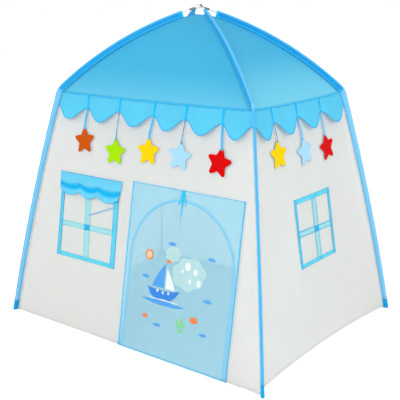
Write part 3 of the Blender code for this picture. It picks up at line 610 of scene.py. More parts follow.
def cut_form(form, outline, holes, spacing, place):
    """Adds a sheet cut to an outline, with a fine net of points over it. place gives a point for (u, v)."""
    loops = [divided(list(loop), spacing, closed=True) for loop in (outline, *holes)]
    points, edges = [], []
    for loop in loops:
        first = len(points)
        points += loop
        edges += [(first + index, first + (index + 1) % len(loop)) for index in range(len(loop))]
    tree = kdtree.KDTree(len(points))
    for index, (u, v) in enumerate(points):
        tree.insert((u, v, 0), index)
    tree.balance()
    low_u, high_u = min(u for u, _ in loops[0]), max(u for u, _ in loops[0])
    low_v, high_v = min(v for _, v in loops[0]), max(v for _, v in loops[0])
    rows, columns = int((high_v - low_v) / spacing), int((high_u - low_u) / spacing)
    for row in range(rows + 1):
        for column in range(columns + 1):
            u = low_u + spacing * (column + 0.5 * (row % 2))
            v = low_v + spacing * row
            if tree.find((u, v, 0))[2] > 0.6 * spacing and kept(loops, u, v):
                points.append((u, v))
    corners, _, faces, *_ = delaunay_2d_cdt([Vector(point) for point in points], edges, [], 0, 1e-7)
    threads = form.loops.layers.uv.verify()
    verts = {}
    for face in faces:
        centre = sum((corners[index] for index in face), Vector((0, 0))) / len(face)
        if not kept(loops, *centre):
            continue
        for index in face:
            if index not in verts:
                verts[index] = form.verts.new(place(*corners[index]))
        made = form.faces.new([verts[index] for index in face])
        for loop, index in zip(made.loops, face):
            loop[threads].uv = corners[index]
    return form


def kept(loops, u, v):
    return inside(loops[0], u, v) and not any(inside(loop, u, v) for loop in loops[1:])


def flat_area(outline, holes=()):
    total = []
    for loop in (outline, *holes):
        pairs = zip(loop, list(loop[1:]) + [loop[0]])
        total.append(abs(sum(a[0] * b[1] - b[0] * a[1] for a, b in pairs)) / 2)
    return total[0] - sum(total[1:])


def tube_faces(form, rings, closed=False, backward=False):
    """Adds the faces between rings of corners, each a vert with its weave place, and caps an open run's ends.
    backward goes round each face the other way."""
    threads = form.loops.layers.uv.verify()
    for low, high in zip(rings, rings[1:] + (rings[:1] if closed else [])):
        for index in range(len(low)):
            after = (index + 1) % len(low)
            corners = [low[index], low[after], high[after], high[index]]
            if backward:
                corners[1:] = corners[:0:-1]
            face = form.faces.new([vert for vert, _ in corners])
            for loop, (_, uv) in zip(face.loops, corners):
                loop[threads].uv = uv
    if not closed:
        turn = 1 if backward else -1
        form.faces.new([vert for vert, _ in rings[0][::turn]])
        form.faces.new([vert for vert, _ in rings[-1][::-turn]])
    return form


TAPE_PROFILE = ((-1, 0.15), (-0.88, 1), (-0.45, 1), (0, 1), (0.45, 1), (0.88, 1), (1, 0.15), (0.5, 0),
                (-0.5, 0))


def tape_form(form, path, widths, lift, place, spacing=0.010, thickness=TAPE_THICKNESS, closed=False):
    """Adds a sewn tape along a line of (u, v) places. widths is its width, or those at its start and end."""
    first, last = widths if isinstance(widths, tuple) else (widths, widths)
    line = divided(list(path), spacing, closed)
    count = len(line)
    run = [0.0]
    for (a_u, a_v), (b_u, b_v) in zip(line, line[1:]):
        run.append(run[-1] + math.hypot(b_u - a_u, b_v - a_v))
    rings = []
    for index, (u, v) in enumerate(line):
        before = line[(index - 1) % count] if closed or index else line[0]
        after = line[(index + 1) % count] if closed or index < count - 1 else line[-1]
        along = Vector((after[0] - before[0], after[1] - before[1])).normalized()
        half = mix(first, last, run[index] / run[-1]) / 2
        rings.append([(form.verts.new(place(u - along.y * half * side, v + along.x * half * side,
                                            lift + thickness * height)), (run[index], half * side))
                      for side, height in TAPE_PROFILE])
    return tube_faces(form, rings, closed, backward=True)


def rod_form(form, path, radius, sides=8):
    """Adds a round cord or rolled hem along a line of points."""
    rings, run = [], 0.0
    side = None
    for index, point in enumerate(path):
        along = (path[min(index + 1, len(path) - 1)] - path[max(index - 1, 0)]).normalized()
        side = side or along.orthogonal()
        side = (side - along * side.dot(along)).normalized()
        other = along.cross(side)
        if index:
            run += (point - path[index - 1]).length
        angles = [2 * math.pi * step / sides for step in range(sides)]
        rings.append([(form.verts.new(point + (side * math.cos(angle) + other * math.sin(angle)) * radius),
                       (run, radius * angle)) for angle in angles])
    return tube_faces(form, rings)


def riding(obj, body="tent", replaces=()):
    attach(obj, body)
    if replaces:
        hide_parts(*replaces)
    return obj


def sewn(name, form, surface, body="tent", replaces=()):
    return riding(finished(name, form, surface), body, replaces)


# Finishes

def add_node(tree, kind, inputs=None, **settings):
    """Adds a node with its settings. An input takes a value, an output, or a node for its first output."""
    made = tree.nodes.new("ShaderNode" + kind)
    for name, value in settings.items():
        setattr(made, name, value)
    for key, value in (inputs or {}).items():
        if isinstance(value, bpy.types.Node):
            value = value.outputs[0]
        if isinstance(value, bpy.types.NodeSocket):
            tree.links.new(value, made.inputs[key])
        else:
            made.inputs[key].default_value = value
    return made


def bands(period):
    """The scale at which a wave texture repeats after this many metres."""
    return math.pi / 10 / period


def crossed(add, place, spacing, more):
    """Warp and weft crossing at this spacing: their height, from 0 between the threads to 1 on them."""
    warp, weft = (add("TexWave", {
        "Vector": place.outputs["UV"], "Scale": bands(spacing), **more,
    }, bands_direction=direction).outputs["Fac"] for direction in "XY")
    return add("Math", {0: warp, 1: weft}, operation="MULTIPLY")


def faced(add, colour, marks, rough, relief, more, invert=False):
    """A face of this colour. Marks vary its gloss. Its relief is a height with a strength and a depth."""
    gloss = add("MapRange", {0: marks, 3: rough[0], 4: rough[1]})
    height, strength, depth = relief
    grain = add("Bump", {"Height": height, "Strength": strength, "Distance": depth}, invert=invert)
    return add("BsdfPrincipled", {"Base Color": colour, "Roughness": gloss, "Normal": grain, **more})


def toned(colour, share):
    return (*(clamped(part * share) for part in colour), 1)


def fresh(name):
    """What adds nodes to a new, empty material, or None where the material is there already."""
    if bpy.data.materials.get(name):
        return None
    made = bpy.data.materials.new(name)
    made.use_nodes = True
    made.node_tree.nodes.clear()
    return functools.partial(add_node, made.node_tree)


def woven(name, colour, thread, relief, rough, sheen, through=0.0, clear=0.0, mottle=0.05, crumple=0.0006,
          drawn=(1, 1, 1), band=None, fold=None):
    """Plain-woven synthetic cloth, dyed and pressed. The threads give a fine crossed grain, the pressing a
    soft gloss that breaks up in patches. thread is the drawn spacing in metres, coarser than the cloth's own
    0.1 to 0.3 mm so that the grain shows, relief its height, rough the least and most roughness, through and
    clear the shares of light scattered to the other side and let through. drawn stretches the patches. band
    is a colour with its middle and half width along the cloth, and the share of that half which it fills
    before it fades. fold is a strip across the cloth, given the same way with a strength for the colour:
    there the band fades, and beyond the band its colour comes in."""
    add = fresh(name)
    if add:
        place = add("TexCoord")
        weave = crossed(add, place, thread, {"Distortion": 0.5, "Detail": 1.0})
        pulled = add("Mapping", {"Vector": place.outputs["Object"], "Scale": drawn})
        patches = add("TexNoise", {"Vector": pulled, "Scale": 9.0, "Detail": 4.0, "Roughness": 0.55})
        tone = add("Math", {
            0: weave, 1: 0.35, 2: patches.outputs["Fac"],
        }, operation="MULTIPLY_ADD", use_clamp=True)
        dye_and_painted_light = add("Mix", {
            0: tone, 6: toned(colour, 1 - mottle), 7: toned(colour, 1 + mottle),
        }, data_type="RGBA")
        # The band and the fold paint light and shade into the colour of the roof and the sleeves: the roof is
        # painted paler towards the eaves for light that comes through from the walls, the roof's sleeves get
        # deep sides and a pale fold, and the legs pale sides and a deeper fold. On the window curtain the
        # band is the deeper colour of its double cloth.
        if band:
            deep, middle, half, full = band
            down = add("SeparateXYZ", {0: place.outputs["UV"]})
            off = add("Math", {0: down.outputs["Y"], 1: middle}, operation="SUBTRACT")
            off = add("Math", {0: off}, operation="ABSOLUTE")
            share = add("MapRange", {0: off, 1: half, 2: half * full}, interpolation_type="SMOOTHSTEP")
            if fold:
                strength, centre, reach, core = fold
                away = add("Math", {0: down.outputs["X"], 1: centre}, operation="SUBTRACT")
                away = add("Math", {0: away}, operation="ABSOLUTE")
                ridge = add("MapRange", {
                    0: away, 1: reach, 2: reach * core, 4: -strength,
                }, interpolation_type="SMOOTHSTEP")
                share = add("Math", {0: share, 1: 1.35, 2: ridge}, operation="MULTIPLY_ADD")
                share = add("Math", {0: share}, operation="ABSOLUTE")
            dye_and_painted_light = add("Mix", {0: share, 6: dye_and_painted_light.outputs[2], 7: (*deep, 1)}, data_type="RGBA")
        gloss = add("MapRange", {0: patches.outputs["Fac"], 3: rough[0], 4: rough[1]})
        folds = add("TexNoise", {"Vector": pulled, "Scale": 22.0, "Detail": 5.0, "Roughness": 0.6})
        crumples = add("Bump", {"Height": folds.outputs["Fac"], "Strength": 0.5, "Distance": crumple})
        threads = add("Bump", {"Height": weave, "Strength": 0.6, "Distance": relief, "Normal": crumples})
        cloth = add("BsdfPrincipled", {
            "Base Color": dye_and_painted_light.outputs[2], "Roughness": gloss, "Normal": threads,
            "Sheen Weight": sheen, "Sheen Roughness": 0.5, "Specular IOR Level": 0.15,
        })
        surface = cloth
        if through:
            glow = add("BsdfTranslucent", {"Color": dye_and_painted_light.outputs[2], "Normal": threads})
            surface = add("MixShader", {0: through, 1: cloth, 2: glow})
        if clear:
            gaps = add("BsdfTransparent", {"Color": (1, 1, 1, 1)})
            surface = add("MixShader", {0: clear, 1: surface, 2: gaps})
        add("OutputMaterial", {"Surface": surface})
    return bpy.data.materials[name]


def wall_taffeta():
    """White nylon taffeta, thin and calendered: soft light shows through it and its pressed face has little
    gloss. Its threads lie 0.12 mm apart and are drawn 2 mm apart, so that the grain shows."""
    return woven("White nylon taffeta, calendered", colours().wall, 0.002, 0.00010, (0.62, 0.82), 0.05,
                 through=0.62, mottle=0.022, crumple=0.0030, drawn=(1, 1, 0.22))


def roof_taffeta():
    """Sky-blue polyester taffeta with a coated back: denser than the walls, with an even, dull face. It is a
    little paler towards the eaves, where light comes through from the white walls below."""
    # The band is painted light: the roof's colour is painted paler towards the eaves.
    return woven("Sky-blue polyester taffeta, coated", colours().roof, 0.002, 0.00010, (0.60, 0.78), 0.04,
                 through=0.30, mottle=0.035, crumple=0.0012, band=(linear("#7AD6EE"), -0.56, 0.26, 0.0))


def valance_taffeta():
    """The same taffeta in a single uncoated layer, paler because light passes through it."""
    return woven("Pale sky-blue polyester taffeta, uncoated", colours().valance, 0.002, 0.00010, (0.60, 0.78),
                 0.03, through=0.42, mottle=0.08, crumple=0.0026, drawn=(1, 1, 0.5))


def sleeve_taffeta():
    """Folded nylon taffeta drawn tight over a rod: glossier along the fold, with slanting pull marks. On the
    roof its sides lie on blue cloth and look deep, and the fold is pale over the white rod. On the legs light
    comes through the sides, so the doubled fold is the deeper part."""
    # The band and fold are painted light and shade: deep sides and a pale fold on the roof, pale sides and a
    # deeper fold on the legs, where the fold's depth is partly its double cloth.
    return woven("Light blue nylon taffeta, folded", colours().sleeve, 0.002, 0.00012, (0.48, 0.66), 0.03,
                 through=0.12, mottle=0.10, crumple=0.0026, drawn=(1.6, 1.6, 1.2),
                 band=(linear("#2CAAE6"), 0.0, 0.86, 0.87), fold=(0.8, 0.0317, 0.0141, 0.59))


def webbing():
    """Woven polypropylene webbing with a waxy face: coarse ribs, 1.5 mm apart and drawn 3 mm apart."""
    return woven("Blue polypropylene webbing, woven", colours().pocket, 0.0030, 0.0003, (0.50, 0.62), 0.0,
                 mottle=0.10, crumple=0.0006)


def seam_piping():
    """Bias-cut piping, saturated because the cloth lies double and is stretched tight."""
    return woven("Blue bias piping, double cloth", colours().piping, 0.0024, 0.0001, (0.45, 0.60), 0.05,
                 mottle=0.07, crumple=0.0004)


def rolled_hem():
    """The edge of the same cloth rolled and overlocked: a thin line, deeper than the cloth."""
    return woven("Cyan taffeta, rolled hem", linear("#1EB0EC"), 0.0020, 0.0002, (0.55, 0.70), 0.0,
                 through=0.10, mottle=0.08, crumple=0.0004)


def curtain_taffeta():
    """Gathered uncoated taffeta, deeper in its folds where it lies double."""
    return woven("Sky-blue taffeta, gathered", colours().curtain, 0.002, 0.00010, (0.55, 0.72), 0.03,
                 through=0.25, clear=0.10, mottle=0.07, crumple=0.0028, drawn=(1.5, 1.5, 4.0),
                 band=(linear("#00C6F8"), -0.0760, 0.0260, 0.25))


def sheer_tape():
    """Sheer nylon ribbon tape: pale over the netting, and deeper where two lengths cross."""
    return woven("Sheer cyan ribbon tape, nylon", linear("#84F0FF"), 0.0016, 0.00008, (0.45, 0.60), 0.05,
                 through=0.30, clear=0.74, mottle=0.06, crumple=0.0005)


def binding_tape():
    """The same tape folded double and stitched down, so less shows through it."""
    return woven("Cyan ribbon tape, folded double", colours().tape, 0.0016, 0.0001, (0.45, 0.60), 0.05,
                 through=0.15, clear=0.38, mottle=0.10, crumple=0.0008)


def door_voile():
    """Polyester voile, fine open plain weave: pale and sheer, so that the arch behind it shows as a brighter
    line. The gaps of 0.2 mm are too fine to draw, so the same share of light passes evenly."""
    return woven("Pale blue polyester voile", colours().door, 0.0024, 0.00008, (0.60, 0.80), 0.04,
                 through=0.25, clear=0.66, mottle=0.06, crumple=0.0040, drawn=(1.2, 1.2, 0.22))


def voile_hem():
    """Voile rolled on itself four times and overlocked: saturated and dense."""
    return woven("Cyan rolled voile hem", colours().door_hem, 0.0020, 0.0002, (0.50, 0.65), 0.05,
                 through=0.10, mottle=0.08, crumple=0.0004)


def arch_piping():
    """Filled piping in the arch's binding, dyed so strongly that it shows through the voile."""
    return woven("Deep cyan piping, filled", linear("#00C4FF"), 0.0020, 0.0002, (0.50, 0.65), 0.0,
                 mottle=0.08, crumple=0.0004)


def strap_webbing():
    """Thin polyester strap, grey-blue behind the netting."""
    return woven("Grey-blue polyester strap, woven", colours().strap, 0.0016, 0.0001, (0.50, 0.65), 0.0,
                 mottle=0.06, crumple=0.0003)


def printed(name, code, strength=1.0):
    """Pigment printed on voile: matt and slightly sheer, with the weave showing through the ink."""
    return woven(f"Pigment print, {name}", linear(code), 0.0024, 0.00006, (0.65, 0.80), 0.0,
                 through=0.15, clear=1 - strength, mottle=0.04, crumple=0.0006)


def netting():
    """Knitted polyester netting: white threads round open cells. Cells of 1 mm are drawn 2.4 mm wide."""
    name = "White polyester netting, knitted"
    add = fresh(name)
    if add:
        place = add("TexCoord")
        cells = crossed(add, place, 0.0024, {})
        gaps = add("MapRange", {0: cells, 1: 0.25, 2: 0.60, 3: 0.06, 4: 0.50})
        patches = add("TexNoise", {"Vector": place.outputs["Object"], "Scale": 14.0, "Detail": 3.0})
        dye_and_painted_light = add("Mix", {
            0: patches.outputs["Fac"], 6: toned(colours().net, 0.95), 7: toned(colours().net, 1.03),
        }, data_type="RGBA")
        knit = faced(add, dye_and_painted_light.outputs[2], patches.outputs["Fac"], (0.6, 0.8), (cells, 0.5, 0.0002),
                     {"Specular IOR Level": 0.3}, invert=True)
        glow = add("BsdfTranslucent", {"Color": dye_and_painted_light.outputs[2]})
        lit = add("MixShader", {0: 0.35, 1: knit, 2: glow})
        air = add("BsdfTransparent", {"Color": (1, 1, 1, 1)})
        surface = add("MixShader", {0: gaps, 1: lit, 2: air})
        add("OutputMaterial", {"Surface": surface})
    return bpy.data.materials[name]


def felt(colour_name):
    """Needle-punched polyester felt, cut out: dull, with short matted fibres and a soft nap at its edges.
    Fibres of 0.02 mm are drawn as clumps about 1.5 mm long."""
    name = f"{colour_name.replace('_', ' ').capitalize()} needle felt, die-cut"
    add = fresh(name)
    if add:
        colour = getattr(colours(), colour_name)
        place = add("TexCoord")
        fibres = add("TexNoise", {
            "Vector": place.outputs["Object"], "Scale": 650.0, "Detail": 4.0, "Roughness": 0.7,
            "Distortion": 1.5,
        })
        clumps = add("TexVoronoi", {"Vector": place.outputs["Object"], "Scale": 260.0, "Randomness": 1.0})
        nap = add("Math", {0: fibres.outputs["Fac"], 1: clumps.outputs["Distance"]}, operation="ADD")
        dye_and_painted_light = add("Mix", {
            0: fibres.outputs["Fac"], 6: toned(colour, 0.72), 7: toned(colour, 0.94),
        }, data_type="RGBA")
        cloth = faced(add, dye_and_painted_light.outputs[2], fibres.outputs["Fac"], (0.85, 1.0), (nap, 0.6, 0.0004),
                      {"Sheen Weight": 0.03, "Sheen Roughness": 0.6, "Specular IOR Level": 0.04})
        add("OutputMaterial", {"Surface": cloth})
    return bpy.data.materials[name]


def satin(rolled=False):
    """Polyester satin ribbon: long floats of thread along it, which give a streaked silky gloss. A ribbon
    that is rolled into a cord is darker, because its turns shade each other. Its floats are 0.1 mm wide and
    drawn 0.8 mm wide."""
    name = "Cyan satin ribbon, rolled" if rolled else "Cyan satin ribbon, polyester"
    colour = colours().ribbon
    add = fresh(name)
    if add:
        place = add("TexCoord")
        floats = add("TexWave", {
            "Vector": place.outputs["UV"], "Scale": bands(0.0008), "Distortion": 1.0, "Detail": 2.0,
        }, bands_direction="Y")
        patches = add("TexNoise", {"Vector": place.outputs["Object"], "Scale": 60.0})
        dye_and_painted_light = add("Mix", {
            0: floats.outputs["Fac"], 6: toned(colour, 0.88), 7: toned(colour, 1.08),
        }, data_type="RGBA")
        if rolled:
            # Painted shade: the rolled part is darker where the cord's turns shade each other.
            down = add("SeparateXYZ", {0: place.outputs["UV"]})
            shade = add("MapRange", {0: down.outputs["X"], 1: 0.050, 2: 0.064})
            dye_and_painted_light = add("Mix", {0: shade, 6: dye_and_painted_light.outputs[2], 7: (*linear("#3E8CBA"), 1)}, data_type="RGBA")
        cloth = faced(add, dye_and_painted_light.outputs[2], patches.outputs["Fac"], (0.38, 0.52),
                      (floats.outputs["Fac"], 0.4, 0.0001), {"Specular IOR Level": 0.10, "Anisotropic": 0.4})
        add("OutputMaterial", {"Surface": cloth})
    return bpy.data.materials[name]


def solid_finish(name, light, dark, streaks, rough, relief, metallic=0.0, stretch=(1, 1, 1)):
    """A hard surface with fine marks. streaks is the marks' scale per metre and stretch draws them out."""
    add = fresh(name)
    if add:
        place = add("TexCoord")
        drawn = add("Mapping", {"Vector": place.outputs["Object"], "Scale": stretch})
        marks = add("TexNoise", {"Vector": drawn, "Scale": streaks, "Detail": 4.0, "Roughness": 0.6})
        colour = add("Mix", {
            0: marks.outputs["Fac"], 6: (*linear(dark), 1), 7: (*linear(light), 1),
        }, data_type="RGBA")
        share = marks.outputs["Fac"]
        body = faced(add, colour.outputs[2], share, rough, (share, 0.4, relief), {"Metallic": metallic})
        add("OutputMaterial", {"Surface": body})
    return bpy.data.materials[name]


def glass_fibre():
    """Pultruded glass-fibre rod, white: faint streaks of fibre along it under a satin resin skin."""
    return solid_finish("White glass-fibre rod, pultruded", "#F4F4F1", "#E2E3E0", 90.0, (0.25, 0.42), 0.00008,
                        stretch=(8, 8, 1))


def moulded_nylon():
    """Injection-moulded white nylon: smooth, with slight sink marks and a soft gloss."""
    return solid_finish("White nylon, injection-moulded", "#F6F6F4", "#E9E9E5", 45.0, (0.28, 0.45), 0.0002)


def moulded_polypropylene():
    """Injection-moulded white polypropylene: waxier and duller than the nylon."""
    return solid_finish("White polypropylene, injection-moulded", "#EFEFEA", "#E0E0DA", 60.0,
                        (0.40, 0.55), 0.0002)


def plated_steel():
    """Drawn steel tube, black nickel plated: dark, with fine draw marks along it and worn grey patches."""
    return solid_finish("Black nickel on drawn steel tube", "#8A9098", "#4A4E55", 220.0,
                        (0.22, 0.40), 0.00005, metallic=1.0, stretch=(1, 1, 0.2))


def surfaced(names, surface):
    """Gives the solids whose names start with one of these words a better finish."""
    for node_name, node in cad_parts.items():
        if node_name.startswith(names):
            if not node.material_slots:
                node.data.materials.append(surface)
            for place in node.material_slots:
                place.material = surface


# Operators

class PLAYTENT_OT_poles(Operator):
    """Give the rods, elbows, ferrules and peak hub their finishes"""
    bl_idname = "playtent.poles"
    bl_label = "Poles and Fittings"

    def execute(self, context):
        surfaced(("leg_pole", "roof_pole"), glass_fibre())
        surfaced(("elbow",), moulded_polypropylene())
        surfaced(("ferrule",), plated_steel())
        surfaced(("peak_hub",), moulded_nylon())
        return {"FINISHED"}


def sleeve_outline(radius, depth, growth=0.0):
    """The sleeve's cloth about the pole as (out, across), from the seam over the fold and back to it."""
    reach = radius + growth
    neck = -mix(radius, depth, 0.30)
    side = SLEEVE_CLOTH + growth
    arc = [math.radians(mix(-SLEEVE_ARC, SLEEVE_ARC, share)) for share in shares(SLEEVE_ARC_STATIONS)]
    fold = [(reach * math.cos(angle), reach * math.sin(angle)) for angle in arc]
    web = [(-depth - SLEEVE_CLOTH, side), (mix(-depth, neck, 0.5), side), (neck, side * 1.15),
           (neck * 0.86, side * 2.2)]
    return [(out, -across) for out, across in web] + fold + web[::-1]


def cloth_radius(index):
    """The sleeve is a little full at the foot, drawn tight up the leg, and full again on the roof."""
    if index >= LEG_STATIONS:
        return SLEEVE_RADIUS
    share = index / LEG_STATIONS
    tight = eased((share - 0.25) / 0.3) * (1 - eased((share - 0.93) / 0.07))
    return mix(SLEEVE_RADIUS, SLEEVE_TIGHT_RADIUS, tight)


def sleeve_ring(corner, index, growth=0.0, level=False):
    place = stations(corner)[index]
    across = place.along.cross(place.out)
    ring = []
    for out, side in sleeve_outline(cloth_radius(index), place.depth, growth):
        angle = math.atan2(side, out)
        pull = math.sin(70 * index / LEG_STATIONS + 2 * angle) if index < LEG_STATIONS else 0.0
        ripple = uneven(index * 0.33, angle * 1.3, 11.0 * CORNERS.index(corner))
        swell = (0.00028 * pull + 0.0005 * ripple) if out > -place.depth * 0.6 else 0.0
        reach = math.hypot(out, side) or 1.0
        point = place.point + (place.out * out + across * side) * (1 + swell / reach)
        ring.append(point - place.along * (point.z / place.along.z) if level else point)
    return ring


def ring_sheet(name, rings, length, surface, thickness):
    """A sheet through like rows of points, the first row highest."""
    columns, rows = shares(len(rings[0]) - 1), shares(len(rings) - 1)

    def place(across, down):
        return rings[round(down * (len(rings) - 1))][round(across * (len(rings[0]) - 1))]

    width = sum((b - a).length for a, b in zip(rings[0], rings[0][1:]))
    made = cloth_grid(name, columns, rows, place, (width, length), surface, thickness)
    return made, (width, length)


class PLAYTENT_OT_sleeves(Operator):
    """Sew the folded sleeves round the poles, with piping, mouth hems and foot pockets"""
    bl_idname = "playtent.sleeves"
    bl_label = "Pole Sleeves"

    def execute(self, context):
        for corner in CORNERS:
            last = len(stations(corner)) - 1
            foot = FOOT_POCKET_HEIGHT - FOOT_POCKET_LAP
            start = next(index for index, place in enumerate(stations(corner)) if place.point.z > foot)
            rings = [sleeve_ring(corner, index) for index in range(last, start - 1, -1)]
            length = pole_length(True, corner) + mouth_distance(corner)
            name = f"sleeve_{corner.name}"
            sleeve, flat = ring_sheet(name, rings, length, sleeve_taffeta(), LIGHT_CLOTH)
            riding(sleeve, replaces=[f"pole_sleeve_{corner.name}"])
            hem_start = last - max(1, round(MOUTH_HEM / pole_length(False, corner) * ROOF_STATIONS))
            hem = [sleeve_ring(corner, index, 0.0006) for index in range(last, hem_start - 1, -1)]
            mouth, _ = ring_sheet(f"{name}_mouth_hem", hem, MOUTH_HEM, seam_piping(), LIGHT_CLOTH)
            riding(mouth)
            piping = [
                self.piping(corner, f"{name}_leg_stitching", start, EAVES_INDEX + 1, 0.55, rolled_hem()),
                self.piping(corner, f"{name}_piping", EAVES_INDEX, last + 1, 1.0, seam_piping()),
            ]
            self.pocket(corner)
        return {"FINISHED"}

    def piping(self, corner, name, start, end, share, surface):
        """The line along both sides of the sleeve's seam."""
        radius = sizes().piping * share
        form = bmesh.new()
        for hand in (-1, 1):
            line = []
            for place in stations(corner)[start:end]:
                across = place.along.cross(place.out) * hand
                line.append(seam_point(place) + place.out * 0.0030 + across * (SLEEVE_CLOTH + radius))
            rod_form(form, line, radius)
        return sewn(name, form, surface)

    def pocket(self, corner):
        """The closed end of the sleeve: a deeper blue pocket on the floor that holds the leg's end."""
        places = stations(corner)
        top = next(index for index, place in enumerate(places) if place.point.z > FOOT_POCKET_HEIGHT)
        rows = [sleeve_ring(corner, index, 0.0007) for index in range(top, 0, -1)]
        rows.append([mix(a, b, 0.9) for a, b in zip(rows[-1], sleeve_ring(corner, 0, 0.0007, level=True))])
        rows.append(sleeve_ring(corner, 0, 0.0003, level=True))
        form = bmesh.new()
        threads = form.loops.layers.uv.verify()
        grid = [[form.verts.new(point) for point in row] for row in rows]
        count = len(grid[0])
        for row in range(len(grid) - 1):
            for index in range(count):
                after = (index + 1) % count
                corners = ((row, index), (row + 1, index), (row + 1, after), (row, after))
                face = form.faces.new([grid[r][c] for r, c in corners])
                for loop, (r, c) in zip(face.loops, corners):
                    loop[threads].uv = (0.002 * c, 0.012 * r)
        form.faces.new(grid[-1])
        name = f"foot_pocket_cloth_{corner.name}"
        pocket = thickened(finished(name, form, webbing()), 0.0004)
        riding(pocket, replaces=[f"foot_pocket_{corner.name}"])


def wall_outline(side):
    """The wall's cut edge: down its left side, along its hem, up its right side and back along its top."""
    top = wall_top(side)
    hem = [hem_height(side, share) for share in (0, 1)]
    heights = [mix(hem[0], top, step / 40) for step in range(40, 0, -1)]
    outline = [(edge_at(side, False, v), v) for v in heights]
    for step in range(61):
        share = step / 60
        v = hem_height(side, share)
        outline.append((mix(edge_at(side, False, v), edge_at(side, True, v), share), v))
    heights = [mix(hem[1], top, step / 40) for step in range(1, 41)]
    return outline + [(edge_at(side, True, v), v) for v in heights]


def arch_line(growth=0.0, foot=0.0):
    """The door's arch from its left foot over the top to its right foot, or a line outside it."""
    radius, spring = ARCH_RADIUS + growth, ARCH_TOP - ARCH_RADIUS
    turns = [math.pi * index / ARCH_STATIONS for index in range(ARCH_STATIONS + 1)]
    curve = [(DOOR_CENTRE - radius * math.cos(turn), spring + radius * math.sin(turn)) for turn in turns]
    return [(DOOR_CENTRE - radius, foot), *curve, (DOOR_CENTRE + radius, foot)]


def rectangle(left, right, foot, top):
    return [(left, foot), (right, foot), (right, top), (left, top)]


def window_hole(side):
    left, right, foot, top = WINDOWS[side]
    lap = WINDOW_SEAM_LAP
    return rectangle(left + lap, right - lap, foot + lap, top - lap)


class PLAYTENT_OT_walls(Operator):
    """Cut the four white walls, with the door arch, the windows and turned hems"""
    bl_idname = "playtent.walls"
    bl_label = "Walls"

    def execute(self, context):
        for side in SIDES:
            outline = wall_outline(side)
            holes = [window_hole(side)] if side in WINDOWS else []
            if side == "front":
                door = arch_line(foot=HEM_CLEARANCE)
                left = [place for place in outline if place[0] < door[0][0]]
                outline = left + door + [place for place in outline if place[0] > door[-1][0]]
            form = cut_form(bmesh.new(), outline, holes, CUT_SPACING, on_wall(side))
            wall = thickened(finished(f"wall_cloth_{side}", form, wall_taffeta()), BODY_CLOTH)
            riding(wall, replaces=[f"wall_{side}"])
            hem = self.hem(side)
            flat_area(outline, holes)
        return {"FINISHED"}

    def hem(self, side):
        """The turned and stitched lower edge, in two lengths beside the door on the front."""
        spans = ((0.0, 1.0),)
        if side == "front":
            left, right = edge_at(side, False, 0), edge_at(side, True, 0)
            arch = [(DOOR_CENTRE + hand * (ARCH_RADIUS + 0.002) - left) / (right - left) for hand in (-1, 1)]
            spans = ((0.0, arch[0]), (arch[1], 1.0))
        form = bmesh.new()
        for start, end in spans:
            line = []
            for step in range(41):
                share = mix(start, end, step / 40)
                v = hem_height(side, share) + HEM_WIDTH / 2
                line.append((mix(edge_at(side, False, v) + 0.004, edge_at(side, True, v) - 0.004, share), v))
            tape_form(form, line, HEM_WIDTH, 0.0001, on_wall(side), spacing=0.02, thickness=LIGHT_CLOTH)
        return sewn(f"wall_hem_{side}", form, wall_taffeta())


@functools.cache
def roof_pairs(side):
    """Pairs of seam points from the eaves to the peak, with how far up the panel each pair lies."""
    lines = []
    for corner in SIDES[side]:
        line = [seam_point(place) for place in stations(corner)[EAVES_INDEX:]]
        outward = Vector((*line[-1].xy, 0)).normalized()
        height = PEAK_HEIGHT + HUB_BAR_SPACING / 2 - PEAK_CLOTH_DROP
        peak = outward * PEAK_OPENING_RADIUS + Vector((0, 0, height))
        tangent = (line[-1] - line[-3]) * 1.2
        line += [mix(line[-1], peak, share) + tangent * share * (1 - share) ** 2
                 for share in (0.25, 0.5, 0.75)]
        lines.append(line + [peak])
    pairs = list(zip(*lines))
    middles = [(left + right) / 2 for left, right in pairs]
    run = [0.0]
    for a, b in zip(middles, middles[1:]):
        run.append(run[-1] + (b - a).length)
    return pairs, tuple(length / run[-1] for length in run), run[-1]


def roof_at(side, across, up, lift=0.0):
    """A point of the roof panel: across from its left hip to its right, up from the eaves to the peak."""
    pairs, runs, _ = roof_pairs(side)
    left, right = (along_line([(run, pair[hand]) for run, pair in zip(runs, pairs)], up) for hand in (0, 1))
    middles = [(run, (pair[0] + pair[1]) / 2) for run, pair in zip(runs, pairs)]
    above, below = along_line(middles, min(up + 0.02, 1)), along_line(middles, max(up - 0.02, 0))
    width = (right - left).length
    wide = (pairs[0][1] - pairs[0][0]).length
    row = (right - left).normalized()
    outward = row.cross((above - below).normalized()).normalized()
    point = mix(left + row * SEAM_INSET, right - row * SEAM_INSET, across)
    sag = sizes().roof_slack * hump(across) * hump(clamped(up * 0.9 + 0.05)) * width / wide
    sway = uneven(across * 3.1, up * 2.2, 5.0 * list(SIDES).index(side)) * 0.0018
    pull = crease_height(ROOF_CREASES, across, up) * width / wide
    fade = hump(across) * min(up * 8, 1)
    point += outward * (lift - sag + (sway + pull) * fade)
    slope = (above - below).normalized()
    return point - slope * eaves_drop(across) * (1 - eased(up / 0.14))


